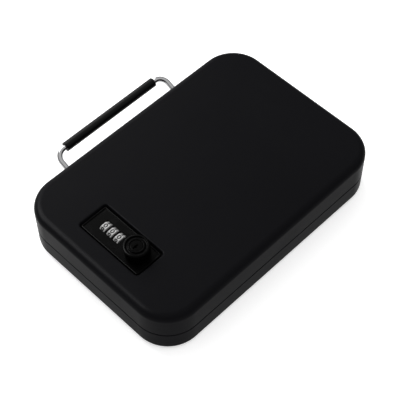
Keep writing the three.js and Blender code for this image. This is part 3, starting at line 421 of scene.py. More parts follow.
base = pressed("base_case", [
    (BASE_EDGE, 0),
    (0, 0, BASE_EDGE - ROUND_PLAY),
    (0, rim, SEAM_EASE),
    (LIP_INSET, rim, FINE_EASE),
    (LIP_INSET, base_high.z, RIM_EASE),
    (LIP_INSET + LIP_SHEET, base_high.z, RIM_EASE),
    (LIP_INSET + LIP_SHEET, rim - SHOULDER_DROP),
    (SHEET, rim - SHOULDER_DROP),
    (SHEET, SHEET, BASE_EDGE - SHEET - ROUND_PLAY),
    (BASE_EDGE, SHEET),
], half_x, half_y, CASE_CORNER, ease_steps=10)
notch_inner = half_y - LIP_INSET - LIP_SHEET - SHEET
base_cuts = [
    block("knuckle_room", (-hinge_half, notch_inner, seam - knuckle_radius - RUNNING_GAP),
          (hinge_half, half_y + SHEET, base_high.z + SHEET)),
    block("leaf_room", (-hinge_half, notch_inner, rim - SHOULDER_DROP - SHEET),
          (hinge_half, half_y - SHEET, base_high.z + SHEET)),
    block("strike_room", (strike_low.x - RUNNING_GAP, SHEET - half_y, rim - SHOULDER_DROP - SHEET),
          (strike_high.x + RUNNING_GAP, LIP_INSET + 2 * LIP_SHEET - half_y, base_high.z + SHEET)),
]
rivet_boxes = [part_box(f"bail_bracket_rivet_{k + 1}") for k in range(RIVET_COUNT)]
for low, high in rivet_boxes:
    hole = along_x(rod("rivet_hole", RIVET_HOLE, -half_x - SHEET, -half_x + 2 * SHEET, 24))
    base_cuts.append(level_with(hole, low, high))
cut(base, *base_cuts)
dressed(softened(base, 0), case_paint, "case_paint", "base", "base_shell")

# Lid shell
# The upper half of the case, pressed from the same sheet, with a rounded top edge. A shallow pocket is
# pressed down into it for the lock plate, and the pocket's mouth keeps the press tool's round edge.

LID_EDGE = 6.5 * MM
POCKET_GROOVE = 1.2 * MM
POCKET_CORNER = 2.8 * MM
POCKET_MOUTH = 1.1 * MM
POCKET_STEPS = 10
SPINDLE_RADIUS = 4 * MM
AXLE_SEAT = 1.6 * MM
DIAL_COUNT = 3
SCREW_COUNT = 4

bezel_low, bezel_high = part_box("lock_bezel")
axle_low, axle_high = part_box("dial_axle")
knob_low, knob_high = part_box("turn_knob")
dial_boxes = [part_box(f"dial_{k + 1}") for k in range(DIAL_COUNT)]
screw_boxes = [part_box(f"lock_screw_{k + 1}") for k in range(SCREW_COUNT)]
top = lid_high.z
lock_middle = (bezel_low + bezel_high) / 2
pocket_floor = bezel_low.z - SEAT_GAP
pocket_half_x = bezel_high.x + POCKET_GROOVE
pocket_half_y = (bezel_high.y - bezel_low.y) / 2 + POCKET_GROOVE
knob_middle = (knob_low + knob_high) / 2
axle_middle = (axle_low + axle_high) / 2
dial_radius = (dial_boxes[0][1].y - dial_boxes[0][0].y) / 2


def at_lock(piece):
    """Moves a piece from the Z axis to the middle of the lock plate."""
    return shifted(piece, 0, lock_middle.y, 0)


def at_knob(piece):
    """Moves a piece from the Z axis to the knob's."""
    return shifted(piece, knob_middle.x, knob_middle.y, 0)


def dial_room(height):
    """Half the length of the dials' opening at a height."""
    rise = max(height - axle_middle.z, 0)
    return math.sqrt((dial_radius + RUNNING_GAP) ** 2 - rise ** 2)


window_half = (axle_high.x - axle_low.x) / 2 - AXLE_SEAT + SEAT_GAP
under_pocket = pocket_floor - 2 * SHEET
mouth = top - 0.001 * MM
lid = pressed("lid_case", [
    (LID_EDGE, top - SHEET),
    (SHEET, top - SHEET, LID_EDGE - SHEET - ROUND_PLAY),
    (SHEET, lid_low.z, RIM_EASE),
    (0, lid_low.z, SEAM_EASE),
    (0, top, LID_EDGE - ROUND_PLAY),
    (LID_EDGE, top),
], half_x, half_y, CASE_CORNER, ease_steps=12)
well = at_lock(pressed("pocket_well", [
    (0.8 * MM, pocket_floor - SHEET),
    (0, pocket_floor - SHEET, 0.7 * MM),
    (0, top - SHEET / 2),
], pocket_half_x + SHEET, pocket_half_y + SHEET, POCKET_CORNER + SHEET, POCKET_STEPS))
hollow = at_lock(pressed("pocket_hollow", [
    (0.6 * MM, pocket_floor),
    (0, pocket_floor, 0.5 * MM),
    (0, mouth, POCKET_MOUTH),
    (-2 * POCKET_MOUTH, mouth),
    (-2 * POCKET_MOUTH, top + SHEET),
], pocket_half_x, pocket_half_y, POCKET_CORNER, POCKET_STEPS))
joined(lid, well)
cut(
    lid, hollow,
    shifted(slab("dial_window", window_half, dial_room(pocket_floor - SHEET), under_pocket, top),
            axle_middle.x, axle_middle.y, 0),
    at_knob(rod("spindle_hole", SPINDLE_RADIUS + RUNNING_GAP, under_pocket, top)),
    block("hinge_room", (-hinge_half, half_y - 2 * SHEET, lid_low.z - SHEET),
          (hinge_half, half_y + SHEET, seam + knuckle_radius + RUNNING_GAP)),
)
dressed(softened(lid, 0), case_paint, "case_paint", "lid", "lid_shell")

# Lock plate
# A die-cast plate in the pocket, with a raised rim round a lower face and one slot for each dial, whose
# ends follow the dial's circle. It is plated glossy black, and two small marks show the knob's places.

PLATE_CORNER = 1.6 * MM
PLATE_RIM = 1.4 * MM
PLATE_OUTER_EDGE = 0.7 * MM
PLATE_INNER_EDGE = 0.5 * MM
PLATE_FACE_DROP = 0.8 * MM
PLATE_WEB = 0.8 * MM
SCREW_HOLE = 1.5 * MM
MARK_DEPTH = 0.25 * MM
MARK_RADIUS = 0.8 * MM
MARK_LINE = 0.25 * MM
OPEN_MARK_SHIFT = (1.6 * MM, 0.9 * MM)
SHUT_MARK_SHIFT = 1.4 * MM

LOCK_TONES = (0.0003, 0.0003, 0.0003), (0.0007, 0.0007, 0.0007)

lock_black, tree, shader, place = new_finish("lock_black", specular=0.023)
grain = placed(tree, sprayed_grain, place, Grain=2600.0, Patches=60.0)
marks = placed(tree, handling_marks, place, Smudges=120.0, Edge=0.5)
coloured(tree, shader, grain["Film"], LOCK_TONES)
roughened(tree, shader, marks["Mask"], 0.24, 0.36)
bumped(tree, shader, grain["Height"], 0.008 * MM)

face = bezel_high.z - PLATE_FACE_DROP
web = face - PLATE_WEB
plate = at_lock(pressed("lock_plate", [
    (0.5 * MM, bezel_low.z),
    (0, bezel_low.z, 0.3 * MM),
    (0, bezel_high.z, PLATE_OUTER_EDGE),
    (PLATE_RIM, bezel_high.z, PLATE_INNER_EDGE),
    (PLATE_RIM, face, TIGHT_EASE),
    (PLATE_RIM + 0.5 * MM, face),
], bezel_high.x, (bezel_high.y - bezel_low.y) / 2, PLATE_CORNER, POCKET_STEPS))
plate_cuts = [
    at_knob(rod("spindle_hole", SPINDLE_RADIUS + RUNNING_GAP, bezel_low.z - SHEET, top + SHEET)),
    shifted(slab("dial_relief", window_half, dial_room(bezel_low.z), bezel_low.z - SHEET, web),
            axle_middle.x, axle_middle.y, 0),
]
for low, high in dial_boxes:
    slot = along_x(rod("dial_slot", dial_radius + RUNNING_GAP,
                       low.x - RUNNING_GAP, high.x + RUNNING_GAP, 96))
    plate_cuts.append(shifted(slot, 0, axle_middle.y, axle_middle.z))
for low, high in screw_boxes:
    hole = rod("screw_hole", SCREW_HOLE, bezel_low.z - SHEET, high.z + SEAT_GAP, 24)
    plate_cuts.append(over(hole, low, high))
open_mark = sleeve("open_mark", MARK_RADIUS - MARK_LINE, MARK_RADIUS,
                   face - MARK_DEPTH, face + MM, 0, 24)
shifted(open_mark, knob_middle.x - OPEN_MARK_SHIFT[0], knob_low.y - OPEN_MARK_SHIFT[1], 0)
shut_mark = rod("shut_mark", MARK_RADIUS * 0.8, face - MARK_DEPTH, face + MM, 24)
shifted(shut_mark, knob_high.x + SHUT_MARK_SHIFT, knob_middle.y, 0)
cut(plate, open_mark, shut_mark, *plate_cuts)
dressed(softened(plate, 0.12 * MM), lock_black, "lock_black", "lid", "lock_bezel")

# Number dials
# Three ten-sided wheels on one axle, die-cast and plated satin silver. A numeral is stamped into each flat
# and filled with black, and the wheels carry brass code sleeves inside.

DIAL_FACETS = 10
DIAL_EDGE = 0.45 * MM
DIAL_BORE = 4.4 * MM
NUMERAL_SIZE = 5.4 * MM
NUMERAL_WEIGHT = 0.20 * MM
NUMERAL_STRETCH = 1.2
NUMERAL_DEPTH = 0.3 * MM
INK_DROP = 0.08 * MM
INK_PLAY = 0.01 * MM
INK_TONES = (0.004, 0.004, 0.004), (0.012, 0.012, 0.012)

DIAL_TONES = (0.28, 0.28, 0.28), (0.44, 0.437, 0.433)

# Brush marks are fine lines square to X, so they run round the dials and catch the light.
brush_marks, start, end = effect("brush_marks", {"Lines": 900.0}, ["Height", "Tone"])
lines = noise(brush_marks, start.outputs["Place"], start.outputs["Lines"], 2, stretch=(1.0, 0.06, 0.06))
clouds = noise(brush_marks, start.outputs["Place"], 160.0, 3)
brush_marks.links.new(lines, end.inputs["Height"])
brush_marks.links.new(weighed(brush_marks, lines, clouds, 0.5), end.inputs["Tone"])

dial_metal, tree, shader, place = new_finish("dial_metal", metallic=0.4)
brushed = placed(tree, brush_marks, place, Lines=2400.0)
coloured(tree, shader, brushed["Tone"], DIAL_TONES)
roughened(tree, shader, brushed["Tone"], 0.42, 0.56)
bumped(tree, shader, brushed["Height"], 0.004 * MM)

numeral_ink, tree, shader, place = new_finish("numeral_ink", specular=0.3)
grain = placed(tree, sprayed_grain, place, Grain=4000.0, Patches=200.0)
coloured(tree, shader, grain["Film"], INK_TONES)
roughened(tree, shader, grain["Film"], 0.5, 0.7)


def numeral(digit, low, high, weight):
    """A solid numeral that stands upright in the XY plane, between two heights."""
    text = bpy.data.curves.new("numeral", "FONT")
    text.body = str(digit)
    text.size = NUMERAL_SIZE
    text.align_x = "CENTER"
    text.align_y = "CENTER"
    text.offset = weight
    text.extrude = (high - low) / 2
    text.resolution_u = 3
    holder = linked("numeral", text)
    graph = bpy.context.evaluated_depsgraph_get()
    mesh = bpy.data.meshes.new_from_object(holder.evaluated_get(graph))
    bpy.data.objects.remove(holder)
    made = bmesh.new()
    made.from_mesh(mesh)
    bmesh.ops.remove_doubles(made, verts=made.verts, dist=MM / 10000)
    across = [v.co.x for v in made.verts]
    up = [v.co.y for v in made.verts]
    middle = Vector(((min(across) + max(across)) / 2, (min(up) + max(up)) / 2, -(low + high) / 2))
    made.transform(Matrix.Diagonal((NUMERAL_STRETCH, 1, 1, 1)) @ Matrix.Translation(-middle))
    return made


def ring_of_numerals(name, low, high, weight):
    """Numerals 0 to 9 round the X axis, 0 at the top, all upright for a reader at the lock end."""
    whole = bmesh.new()
    for digit in range(DIAL_FACETS):
        one = numeral(digit, low, high, weight)
        one.transform(Matrix.Rotation(-2 * math.pi * digit / DIAL_FACETS, 4, "X"))
        mesh = bpy.data.meshes.new("numeral")
        one.to_mesh(mesh)
        one.free()
        whole.from_mesh(mesh)
        bpy.data.meshes.remove(mesh)
    return as_piece(name, whole)


dial_flat = dial_boxes[0][1].z - axle_middle.z
for k, (low, high) in enumerate(dial_boxes):
    half = (high.x - low.x) / 2
    seat = Matrix.Translation(((low.x + high.x) / 2, axle_middle.y, axle_middle.z))
    wheel = along_x(moved(turned(f"dial_wheel_{k + 1}", [
        (DIAL_BORE, -half),
        (dial_radius - DIAL_EDGE, -half),
        (dial_radius, DIAL_EDGE - half),
        (dial_radius, half - DIAL_EDGE),
        (dial_radius - DIAL_EDGE, half),
        (DIAL_BORE, half),
    ], DIAL_FACETS), Matrix.Rotation(math.pi / DIAL_FACETS, 4, "Z")))
    stamp = ring_of_numerals("stamp", dial_flat - NUMERAL_DEPTH, dial_flat + NUMERAL_DEPTH,
                             NUMERAL_WEIGHT)
    cut(wheel, stamp)
    moved(softened(wheel, 0.09 * MM), seat)
    dressed(wheel, dial_metal, "dial_metal", f"wheel_{k + 1}", f"dial_{k + 1}")
    ink = ring_of_numerals(f"dial_numerals_{k + 1}", dial_flat - NUMERAL_DEPTH, dial_flat - INK_DROP,
                           NUMERAL_WEIGHT - INK_PLAY)
    dressed(moved(ink, seat), numeral_ink, "lock_black", f"wheel_{k + 1}")

# Turn knob and key plug
# The knob is a turned and plated zinc cup: a rounded rim, a valley and a hub that holds the plug for the
# override key. The keyway is a slot with a small ward on one side.

KNOB_EDGE = 1.3 * MM
KNOB_RIM = 0.7 * MM
RIDGE_EASE = 0.25 * MM
VALLEY_DEPTH = 1.1 * MM
VALLEY_EASE = 0.4 * MM
HUB_RADIUS = 6.4 * MM
PLUG_SEAT = 2 * MM
SPINDLE_SEAT = SPINDLE_RADIUS + SEAT_GAP
KEYWAY_LENGTH = 5.2 * MM
KEYWAY_SHIFT = 1.2 * MM
KEYWAY_WIDTH = 1.3 * MM
KEYWAY_DEPTH = 3.4 * MM
WARD_WIDTH = 0.6 * MM

plug_low, plug_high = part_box("key_plug")
knob_radius = (knob_high.x - knob_low.x) / 2
plug_radius = (plug_high.x - plug_low.x) / 2
plug_bore = plug_radius + SEAT_GAP
rim_inner = knob_radius - KNOB_EDGE - KNOB_RIM
slope = VALLEY_DEPTH / 2
knob = at_knob(turned("knob_cap", [
    (SPINDLE_SEAT, knob_low.z),
    (knob_radius, knob_low.z, FINE_EASE),
    (knob_radius, knob_high.z, KNOB_EDGE),
    (rim_inner, knob_high.z, RIDGE_EASE),
    (rim_inner - slope, knob_high.z - VALLEY_DEPTH, VALLEY_EASE),
    (HUB_RADIUS + slope, knob_high.z - VALLEY_DEPTH, VALLEY_EASE),
    (HUB_RADIUS, knob_high.z, RIDGE_EASE),
    (plug_bore, knob_high.z, FINE_EASE),
    (plug_bore, knob_low.z + PLUG_SEAT),
    (SPINDLE_SEAT, knob_low.z + PLUG_SEAT),
], 96))
dressed(softened(knob, 0), lock_black, "lock_black", "knob", "turn_knob")

plug = at_knob(turned("key_plug_face", [
    (0, plug_low.z),
    (plug_radius, plug_low.z, FINE_EASE),
    (plug_radius, plug_high.z, RIM_EASE),
    (0, plug_high.z),
]))
slot_low = plug_high.z - KEYWAY_DEPTH
slot_high = plug_high.z + MM
slots = [slab("keyway", KEYWAY_WIDTH / 2, KEYWAY_LENGTH / 2, slot_low, slot_high),
         block("ward", (0, -WARD_WIDTH, slot_low),
               (KEYWAY_WIDTH / 2 + WARD_WIDTH, WARD_WIDTH, slot_high))]
cut(plug, *[at_knob(shifted(slot, 0, -KEYWAY_SHIFT, 0)) for slot in slots])
dressed(softened(plug, 0.12 * MM), lock_black, "lock_black", "plug", "key_plug")

# Lock housing and its screws
# An open-topped die-cast box under the pocket, held up to the plate by four cross-head screws. It hides
# the axle, sleeves, detent leaf, bar and spindle, which keep their CAD shapes.

HOUSING_WALL = 1.6 * MM
HOUSING_CORNER = 2 * MM
POST_RADIUS = 3 * MM
BUTTON_HOLE = 2 * MM
SCREW_RADIUS = 1.2 * MM
SCREW_HEAD = 1.5 * MM
CROSS_WIDTH = 0.5 * MM
CROSS_DEPTH = 0.8 * MM

STEEL_TONES = (0.42, 0.43, 0.45), (0.62, 0.62, 0.63)
BRASS_TONES = (0.50, 0.34, 0.12), (0.72, 0.53, 0.24)

housing_low, housing_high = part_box("lock_housing")
button_low, button_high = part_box("reset_button")
housing_half_y = (housing_high.y - housing_low.y) / 2

zinc_steel, tree, shader, place = new_finish("zinc_steel", metallic=1.0)
brushed = placed(tree, brush_marks, place, Lines=700.0)
marks = placed(tree, handling_marks, place, Smudges=70.0, Edge=0.45)
dull = weighed(tree, brushed["Tone"], marks["Mask"], 0.4)
coloured(tree, shader, dull, STEEL_TONES)
roughened(tree, shader, dull, 0.26, 0.46)
bumped(tree, shader, brushed["Height"], 0.006 * MM)

yellow_brass, tree, shader, place = new_finish("yellow_brass", metallic=1.0)
brushed = placed(tree, brush_marks, place, Lines=1800.0)
coloured(tree, shader, brushed["Tone"], BRASS_TONES)
roughened(tree, shader, brushed["Tone"], 0.22, 0.40)
bumped(tree, shader, brushed["Height"], 0.004 * MM)

housing = pressed("lock_case", [
    (1.2 * MM, housing_low.z),
    (0, housing_low.z, 0.6 * MM),
    (0, housing_high.z, FINE_EASE),
    (HOUSING_WALL, housing_high.z),
    (HOUSING_WALL, housing_low.z + HOUSING_WALL),
    (HOUSING_WALL + 0.2 * MM, housing_low.z + HOUSING_WALL),
], housing_high.x, housing_half_y, HOUSING_CORNER, POCKET_STEPS)
shifted(housing, 0, housing_high.y - housing_half_y, 0)
floor_low = housing_low.z - MM
floor_high = housing_low.z + 2 * HOUSING_WALL
housing_cuts = [
    at_knob(rod("spindle_hole", SPINDLE_RADIUS + RUNNING_GAP, floor_low, floor_high)),
    over(rod("button_hole", BUTTON_HOLE, floor_low, floor_high, 32), button_low, button_high),
]
posts = []
for low, high in screw_boxes:
    posts.append(over(rod("post", POST_RADIUS, housing_low.z + 0.3 * MM, housing_high.z, 40), low, high))
    hole = rod("post_hole", SCREW_RADIUS + SEAT_GAP, floor_low, housing_high.z + MM, 24)
    housing_cuts.append(over(hole, low, high))
joined(housing, *posts)
cut(housing, *housing_cuts)
dressed(softened(housing, 0.15 * MM), lock_black, "lock_black", "lid", "lock_housing")


def cross_head_screw(name, radius, head_radius, head_height, low, high, cross_depth):
    """A screw that points up, with a low domed head at the bottom and a cross recess in it."""
    screw = turned(name, [
        (0, low),
        (head_radius * 0.75, low, 0.3 * MM),
        (head_radius, low + head_height * 0.55, 0.3 * MM),
        (head_radius, low + head_height),
        (radius, low + head_height),
        (radius, high - 0.4 * MM),
        (radius - 0.4 * MM, high),
        (0, high),
    ], 40)
    arm = head_radius * 0.62
    cross = [slab("cross", x, y, low - MM, low + cross_depth)
             for x, y in ((arm, CROSS_WIDTH / 2), (CROSS_WIDTH / 2, arm))]
    return softened(cut(screw, *cross), 0.06 * MM)


for k, (low, high) in enumerate(screw_boxes):
    screw = cross_head_screw(f"housing_screw_{k + 1}", SCREW_RADIUS, (high.x - low.x) / 2, SCREW_HEAD,
                             low.z, high.z, CROSS_DEPTH)
    over(screw, low, high)
    dressed(screw, zinc_steel, "zinc_steel", "lid", f"lock_screw_{k + 1}")

# Cam, washer and cam screw
# The cam is a flat steel arm on the spindle's square end. It lies under the strike and swings away when
# the knob turns. A washer and a larger cross-head screw hold it up to the spindle.

CAM_HUB = 7 * MM
CAM_ARM_HALF = 5.5 * MM
CAM_HOLE_HALF = 3.1 * MM
CAM_STEPS = 24
WASHER_BORE = 1.6 * MM
CAM_SCREW_RADIUS = 1.3 * MM
CAM_SCREW_HEAD = 2 * MM
CAM_CROSS_DEPTH = 1.1 * MM

cam_low, cam_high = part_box("latch_cam")
washer_low, washer_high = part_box("cam_washer")
cam_screw_low, cam_screw_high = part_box("cam_screw")


def sheet_piece(name, outline, low, high):
    """A flat outline in the XY plane made as thick as low to high."""
    return skinned(name, [[(x, y, height) for x, y in outline] for height in (low, high)])


def arc(middle, radius, start_deg, end_deg, steps=CAM_STEPS):
    """Points along an arc in the XY plane, from one angle to another."""
    angles = [math.radians(start_deg + (end_deg - start_deg) * k / steps) for k in range(steps + 1)]
    return [(middle[0] + radius * math.cos(a), middle[1] + radius * math.sin(a)) for a in angles]


neck = math.degrees(math.asin(CAM_ARM_HALF / CAM_HUB))
cam_outline = (arc((0, 0), CAM_HUB, neck, 360 - neck)
               + arc((cam_high.x - knob_middle.x - CAM_ARM_HALF, 0), CAM_ARM_HALF, -90, 90))
cam = at_knob(sheet_piece("cam_arm", cam_outline, cam_low.z, cam_high.z))
cut(cam, at_knob(slab("square_hole", CAM_HOLE_HALF, CAM_HOLE_HALF, cam_low.z - MM, cam_high.z + MM)))
dressed(softened(cam, 0.25 * MM, 3), zinc_steel, "zinc_steel", "knob", "latch_cam")

washer_radius = (washer_high.x - washer_low.x) / 2
washer = at_knob(sleeve("cam_washer_disc", WASHER_BORE, washer_radius, washer_low.z, washer_high.z,
                        FINE_EASE))
dressed(softened(washer, 0), zinc_steel, "zinc_steel", "knob", "cam_washer")

cam_screw = at_knob(cross_head_screw(
    "cam_screw_head", CAM_SCREW_RADIUS, (cam_screw_high.x - cam_screw_low.x) / 2, CAM_SCREW_HEAD,
    cam_screw_low.z, cam_screw_high.z, CAM_CROSS_DEPTH))
dressed(cam_screw, zinc_steel, "zinc_steel", "knob", "cam_screw")

# Reset button
# A turned brass pin that stands 2 mm out of the housing's underside and is pushed up to set a new code.

BUTTON_RADIUS = 1.7 * MM
COLLAR = 1 * MM
STUB_RADIUS = 1.1 * MM

collar_radius = (button_high.x - button_low.x) / 2
collar_low = housing_low.z + HOUSING_WALL + SEAT_GAP
button = over(turned("reset_pin", [
    (0, button_low.z),
    (BUTTON_RADIUS, button_low.z, RIM_EASE),
    (BUTTON_RADIUS, collar_low),
    (collar_radius, collar_low, TIGHT_EASE),
    (collar_radius, collar_low + COLLAR, TIGHT_EASE),
    (STUB_RADIUS, collar_low + COLLAR),
    (STUB_RADIUS, button_high.z, FINE_EASE),
    (0, button_high.z),
], 48), button_low, button_high)
dressed(softened(button, 0), yellow_brass, "yellow_brass", "reset", "reset_button")

# Reset spring
# A coil of plated wire between the pin's collar and the lid's pocket.

SPRING_WIRE = 0.25 * MM
SPRING_TURNS = 6
TURN_STEPS = 24
SPRING_SIDES = 10
spring_low, spring_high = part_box("reset_spring")
coil_start = ((spring_high.x - spring_low.x) / 2 - SPRING_WIRE, spring_low.z + SPRING_WIRE)
coil_rings = []
for k in range(SPRING_TURNS * TURN_STEPS + 1):
    around = 2 * math.pi * k / TURN_STEPS
    climb = (spring_high.z - spring_low.z - 2 * SPRING_WIRE) * k / (SPRING_TURNS * TURN_STEPS)
    coil_rings.append([(out * math.cos(around), out * math.sin(around), height + climb)
                       for out, height in arc(coil_start, SPRING_WIRE, 0, 360, SPRING_SIDES)[:-1]])
spring = over(skinned("reset_coil", coil_rings), spring_low, spring_high)
dressed(spring, zinc_steel, "zinc_steel", "lid", "reset_spring")
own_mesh(spring)

# Pieces sealed in the housing
# The axle, code sleeves, detent leaf, locking bar and spindle keep their CAD shapes, with their edges
# broken and their own plated or turned finish.

WELD_DISTANCE = 0.002 * MM
for name in ("dial_axle", "dial_detent_spring", "locking_bar", "knob_spindle",
             "code_sleeve_1", "code_sleeve_2", "code_sleeve_3"):
    node = frame["nodes"][name]
    node.material_slots[0].material = yellow_brass if name.startswith("code") else zinc_steel
    weld = node.modifiers.new("weld", "WELD")
    weld.merge_threshold = WELD_DISTANCE
    softened(node, 0.08 * MM)

# Strike plate
# An L of thicker sheet, bent and spot-welded inside the base's front wall. The cam goes under its tab.

STRIKE_SHEET = 1.5 * MM
STRIKE_BEND = 0.6 * MM
strike_inner = strike_low.y + STRIKE_SHEET
strike_under = strike_high.z - STRIKE_SHEET
strike_profile = eased([
    (strike_low.y, strike_low.z),
    (strike_inner, strike_low.z),
    (strike_inner, strike_under, STRIKE_BEND),
    (strike_high.y, strike_under),
    (strike_high.y, strike_high.z),
    (strike_low.y, strike_high.z, STRIKE_BEND + STRIKE_SHEET),
], 8)


def across_x(piece):
    """Turns a piece whose outline was drawn in Y and Z so that its thickness runs along X."""
    return moved(piece, Matrix(((0, 0, 1, 0), (1, 0, 0, 0), (0, 1, 0, 0), (0, 0, 0, 1))))


strike = across_x(sheet_piece("strike_tab", strike_profile, strike_low.x, strike_high.x))
dressed(softened(strike, 0.2 * MM), zinc_steel, "zinc_steel", "base", "strike_plate")

# Hinge
# A butt hinge of two steel leaves whose knuckles alternate on one pin, in line with the seam. A tongue on
# the lid's middle knuckle runs in slots of its neighbours and stops the lid at its open place.

LEAF_SHEET = 1 * MM
KNUCKLE_COUNT = 7
KNUCKLE_BORE = 1.5 * MM
TONGUE_START = 100
TONGUE_SPAN = 35
TONGUE_LENGTH = 2 * MM
LID_OPENING = 105
STOP_PLAY = 2
PIN_RADIUS = 1.2 * MM
PIN_HEAD = 0.8 * MM

hinge_length = leaf_high.x - leaf_low.x
knuckle_pitch = hinge_length / KNUCKLE_COUNT
lid_leaf_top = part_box("hinge_leaf_lid")[1].z


def knuckle_sector(bore, radius, from_deg, to_deg, low, high):
    """A slice of a knuckle, from one angle to another round the pin."""
    outline = arc((0, 0), radius, from_deg, to_deg) + arc((0, 0), bore, to_deg, from_deg)
    return across_x(sheet_piece("sector", outline, low, high))


def hinge_leaf(name, first_knuckle, far, side):
    """One leaf: its plate reaches to far from the pin, above it for side 1 and below it for side -1."""
    half = hinge_length / 2
    near = side * (knuckle_radius + RUNNING_GAP)
    leaf = block(name, (-half, -knuckle_radius, min(near, far)),
                 (half, LEAF_SHEET - knuckle_radius, max(near, far)))
    middle = (KNUCKLE_COUNT - 1) / 2
    added = []
    slots = []
    for k in range(first_knuckle, KNUCKLE_COUNT, 2):
        low = k * knuckle_pitch - half + RUNNING_GAP / 2
        high = low + knuckle_pitch - RUNNING_GAP
        added.append(along_x(sleeve("knuckle", KNUCKLE_BORE, knuckle_radius, low, high,
                                    TIGHT_EASE, 48, 2)))
        neck_end = near + side * LEAF_SHEET
        added.append(block("neck", (low, -knuckle_radius, min(0, neck_end)),
                           (high, LEAF_SHEET - knuckle_radius, max(0, neck_end))))
        if side == 1 and k == middle:
            added.append(knuckle_sector(KNUCKLE_BORE, knuckle_radius,
                                        TONGUE_START, TONGUE_START + TONGUE_SPAN,
                                        low - TONGUE_LENGTH, high + TONGUE_LENGTH))
        if side == -1 and abs(k - middle) == 1:
            edge = high if k < middle else low
            depth = TONGUE_LENGTH + RUNNING_GAP
            slots.append(knuckle_sector(KNUCKLE_BORE - SEAT_GAP, knuckle_radius + SEAT_GAP,
                                        TONGUE_START - LID_OPENING - STOP_PLAY,
                                        TONGUE_START + TONGUE_SPAN + STOP_PLAY, edge - depth, edge + depth))
    joined(leaf, *added)
    if slots:
        cut(leaf, *slots)
    return shifted(softened(leaf, 0), 0, half_y, seam)


base_leaf = hinge_leaf("base_leaf", 0, leaf_low.z - seam, -1)
dressed(base_leaf, zinc_steel, "zinc_steel", "base", "hinge_leaf_base")
lid_leaf = hinge_leaf("lid_leaf", 1, lid_leaf_top - seam, 1)
dressed(lid_leaf, zinc_steel, "zinc_steel", "lid", "hinge_leaf_lid")


def two_headed(name, radius, head_radius, head, ease, low, high, steps):
    """A rivet or pin that lies along X in the middle of a box, with a rounded head at each end."""
    shape = turned(name, [
        (0, low.x),
        (head_radius, low.x, ease),
        (head_radius, low.x + head),
        (radius, low.x + head),
        (radius, high.x - head),
        (head_radius, high.x - head),
        (head_radius, high.x, ease),
        (0, high.x),
    ], steps)
    return softened(level_with(along_x(shape), low, high), 0)


pin = two_headed("hinge_rod", PIN_RADIUS, (pin_high.z - pin_low.z) / 2, PIN_HEAD, RIM_EASE,
                 pin_low, pin_high, 40)
dressed(pin, zinc_steel, "zinc_steel", "base", "hinge_pin")

# Bail brackets and rivets
# Two chrome-plated straps bent over the bail's ends and riveted to the side wall below them. Each has a
# small tab that stops the bail's leg before the grip meets the table.

BRACKET_SHEET = 1.2 * MM
BAIL_WIRE = 2.35 * MM
BRACKET_BORE = BAIL_WIRE + SEAT_GAP
BRACKET_OUTER = BRACKET_BORE + BRACKET_SHEET
BRACKET_FLANGE = 4 * MM
BRACKET_LIP = 1.5 * MM
BRACKET_WIDTH = 11 * MM
STOP_TAB_WIDTH = 7 * MM
STOP_TAB_REACH = 8 * MM
BAIL_LOWEST = math.radians(20)
RIVET_RADIUS = 1.1 * MM
RIVET_HEAD = 0.8 * MM
RIVET_DOME = 0.6 * MM

CHROME_TONES = (0.29, 0.29, 0.295), (0.44, 0.44, 0.445)
CHROME_EDGE = (0.55, 0.55, 0.56, 1)

bright_chrome, tree, shader, place = new_finish("bright_chrome", metallic=1.0)
marks = placed(tree, handling_marks, place, Smudges=90.0, Edge=0.5)
brushed = placed(tree, brush_marks, place, Lines=1200.0)
coloured(tree, shader, brushed["Tone"], CHROME_TONES)
roughened(tree, shader, marks["Mask"], 0.05, 0.14)
shader.inputs["Specular Tint"].default_value = CHROME_EDGE
bumped(tree, shader, brushed["Height"], 0.001 * MM)

bracket_boxes = {"front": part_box("bail_bracket_front"), "rear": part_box("bail_bracket_rear")}
joint = next(j for j in frame["joints"] if j["name"] == "handle_swing")
pivot = Vector(joint["pos_m"])
stand_off = -half_x - pivot.x
strap_back = SEAT_GAP + BRACKET_SHEET
strap_profile = (
    [(SEAT_GAP, -BRACKET_OUTER - BRACKET_FLANGE), (SEAT_GAP, -BRACKET_BORE)]
    + arc((stand_off, 0), BRACKET_BORE, -90, 90)
    + [(SEAT_GAP, BRACKET_BORE), (SEAT_GAP, BRACKET_OUTER + BRACKET_LIP),
       (strap_back, BRACKET_OUTER + BRACKET_LIP), (strap_back, BRACKET_OUTER)]
    + arc((stand_off, 0), BRACKET_OUTER, 90, -90)
    + [(strap_back, -BRACKET_OUTER), (strap_back, -BRACKET_OUTER - BRACKET_FLANGE)]
)
leg_drop = (STOP_TAB_REACH - stand_off) * math.sin(BAIL_LOWEST)
tab_top = -(BAIL_WIRE + SEAT_GAP + leg_drop) / math.cos(BAIL_LOWEST)

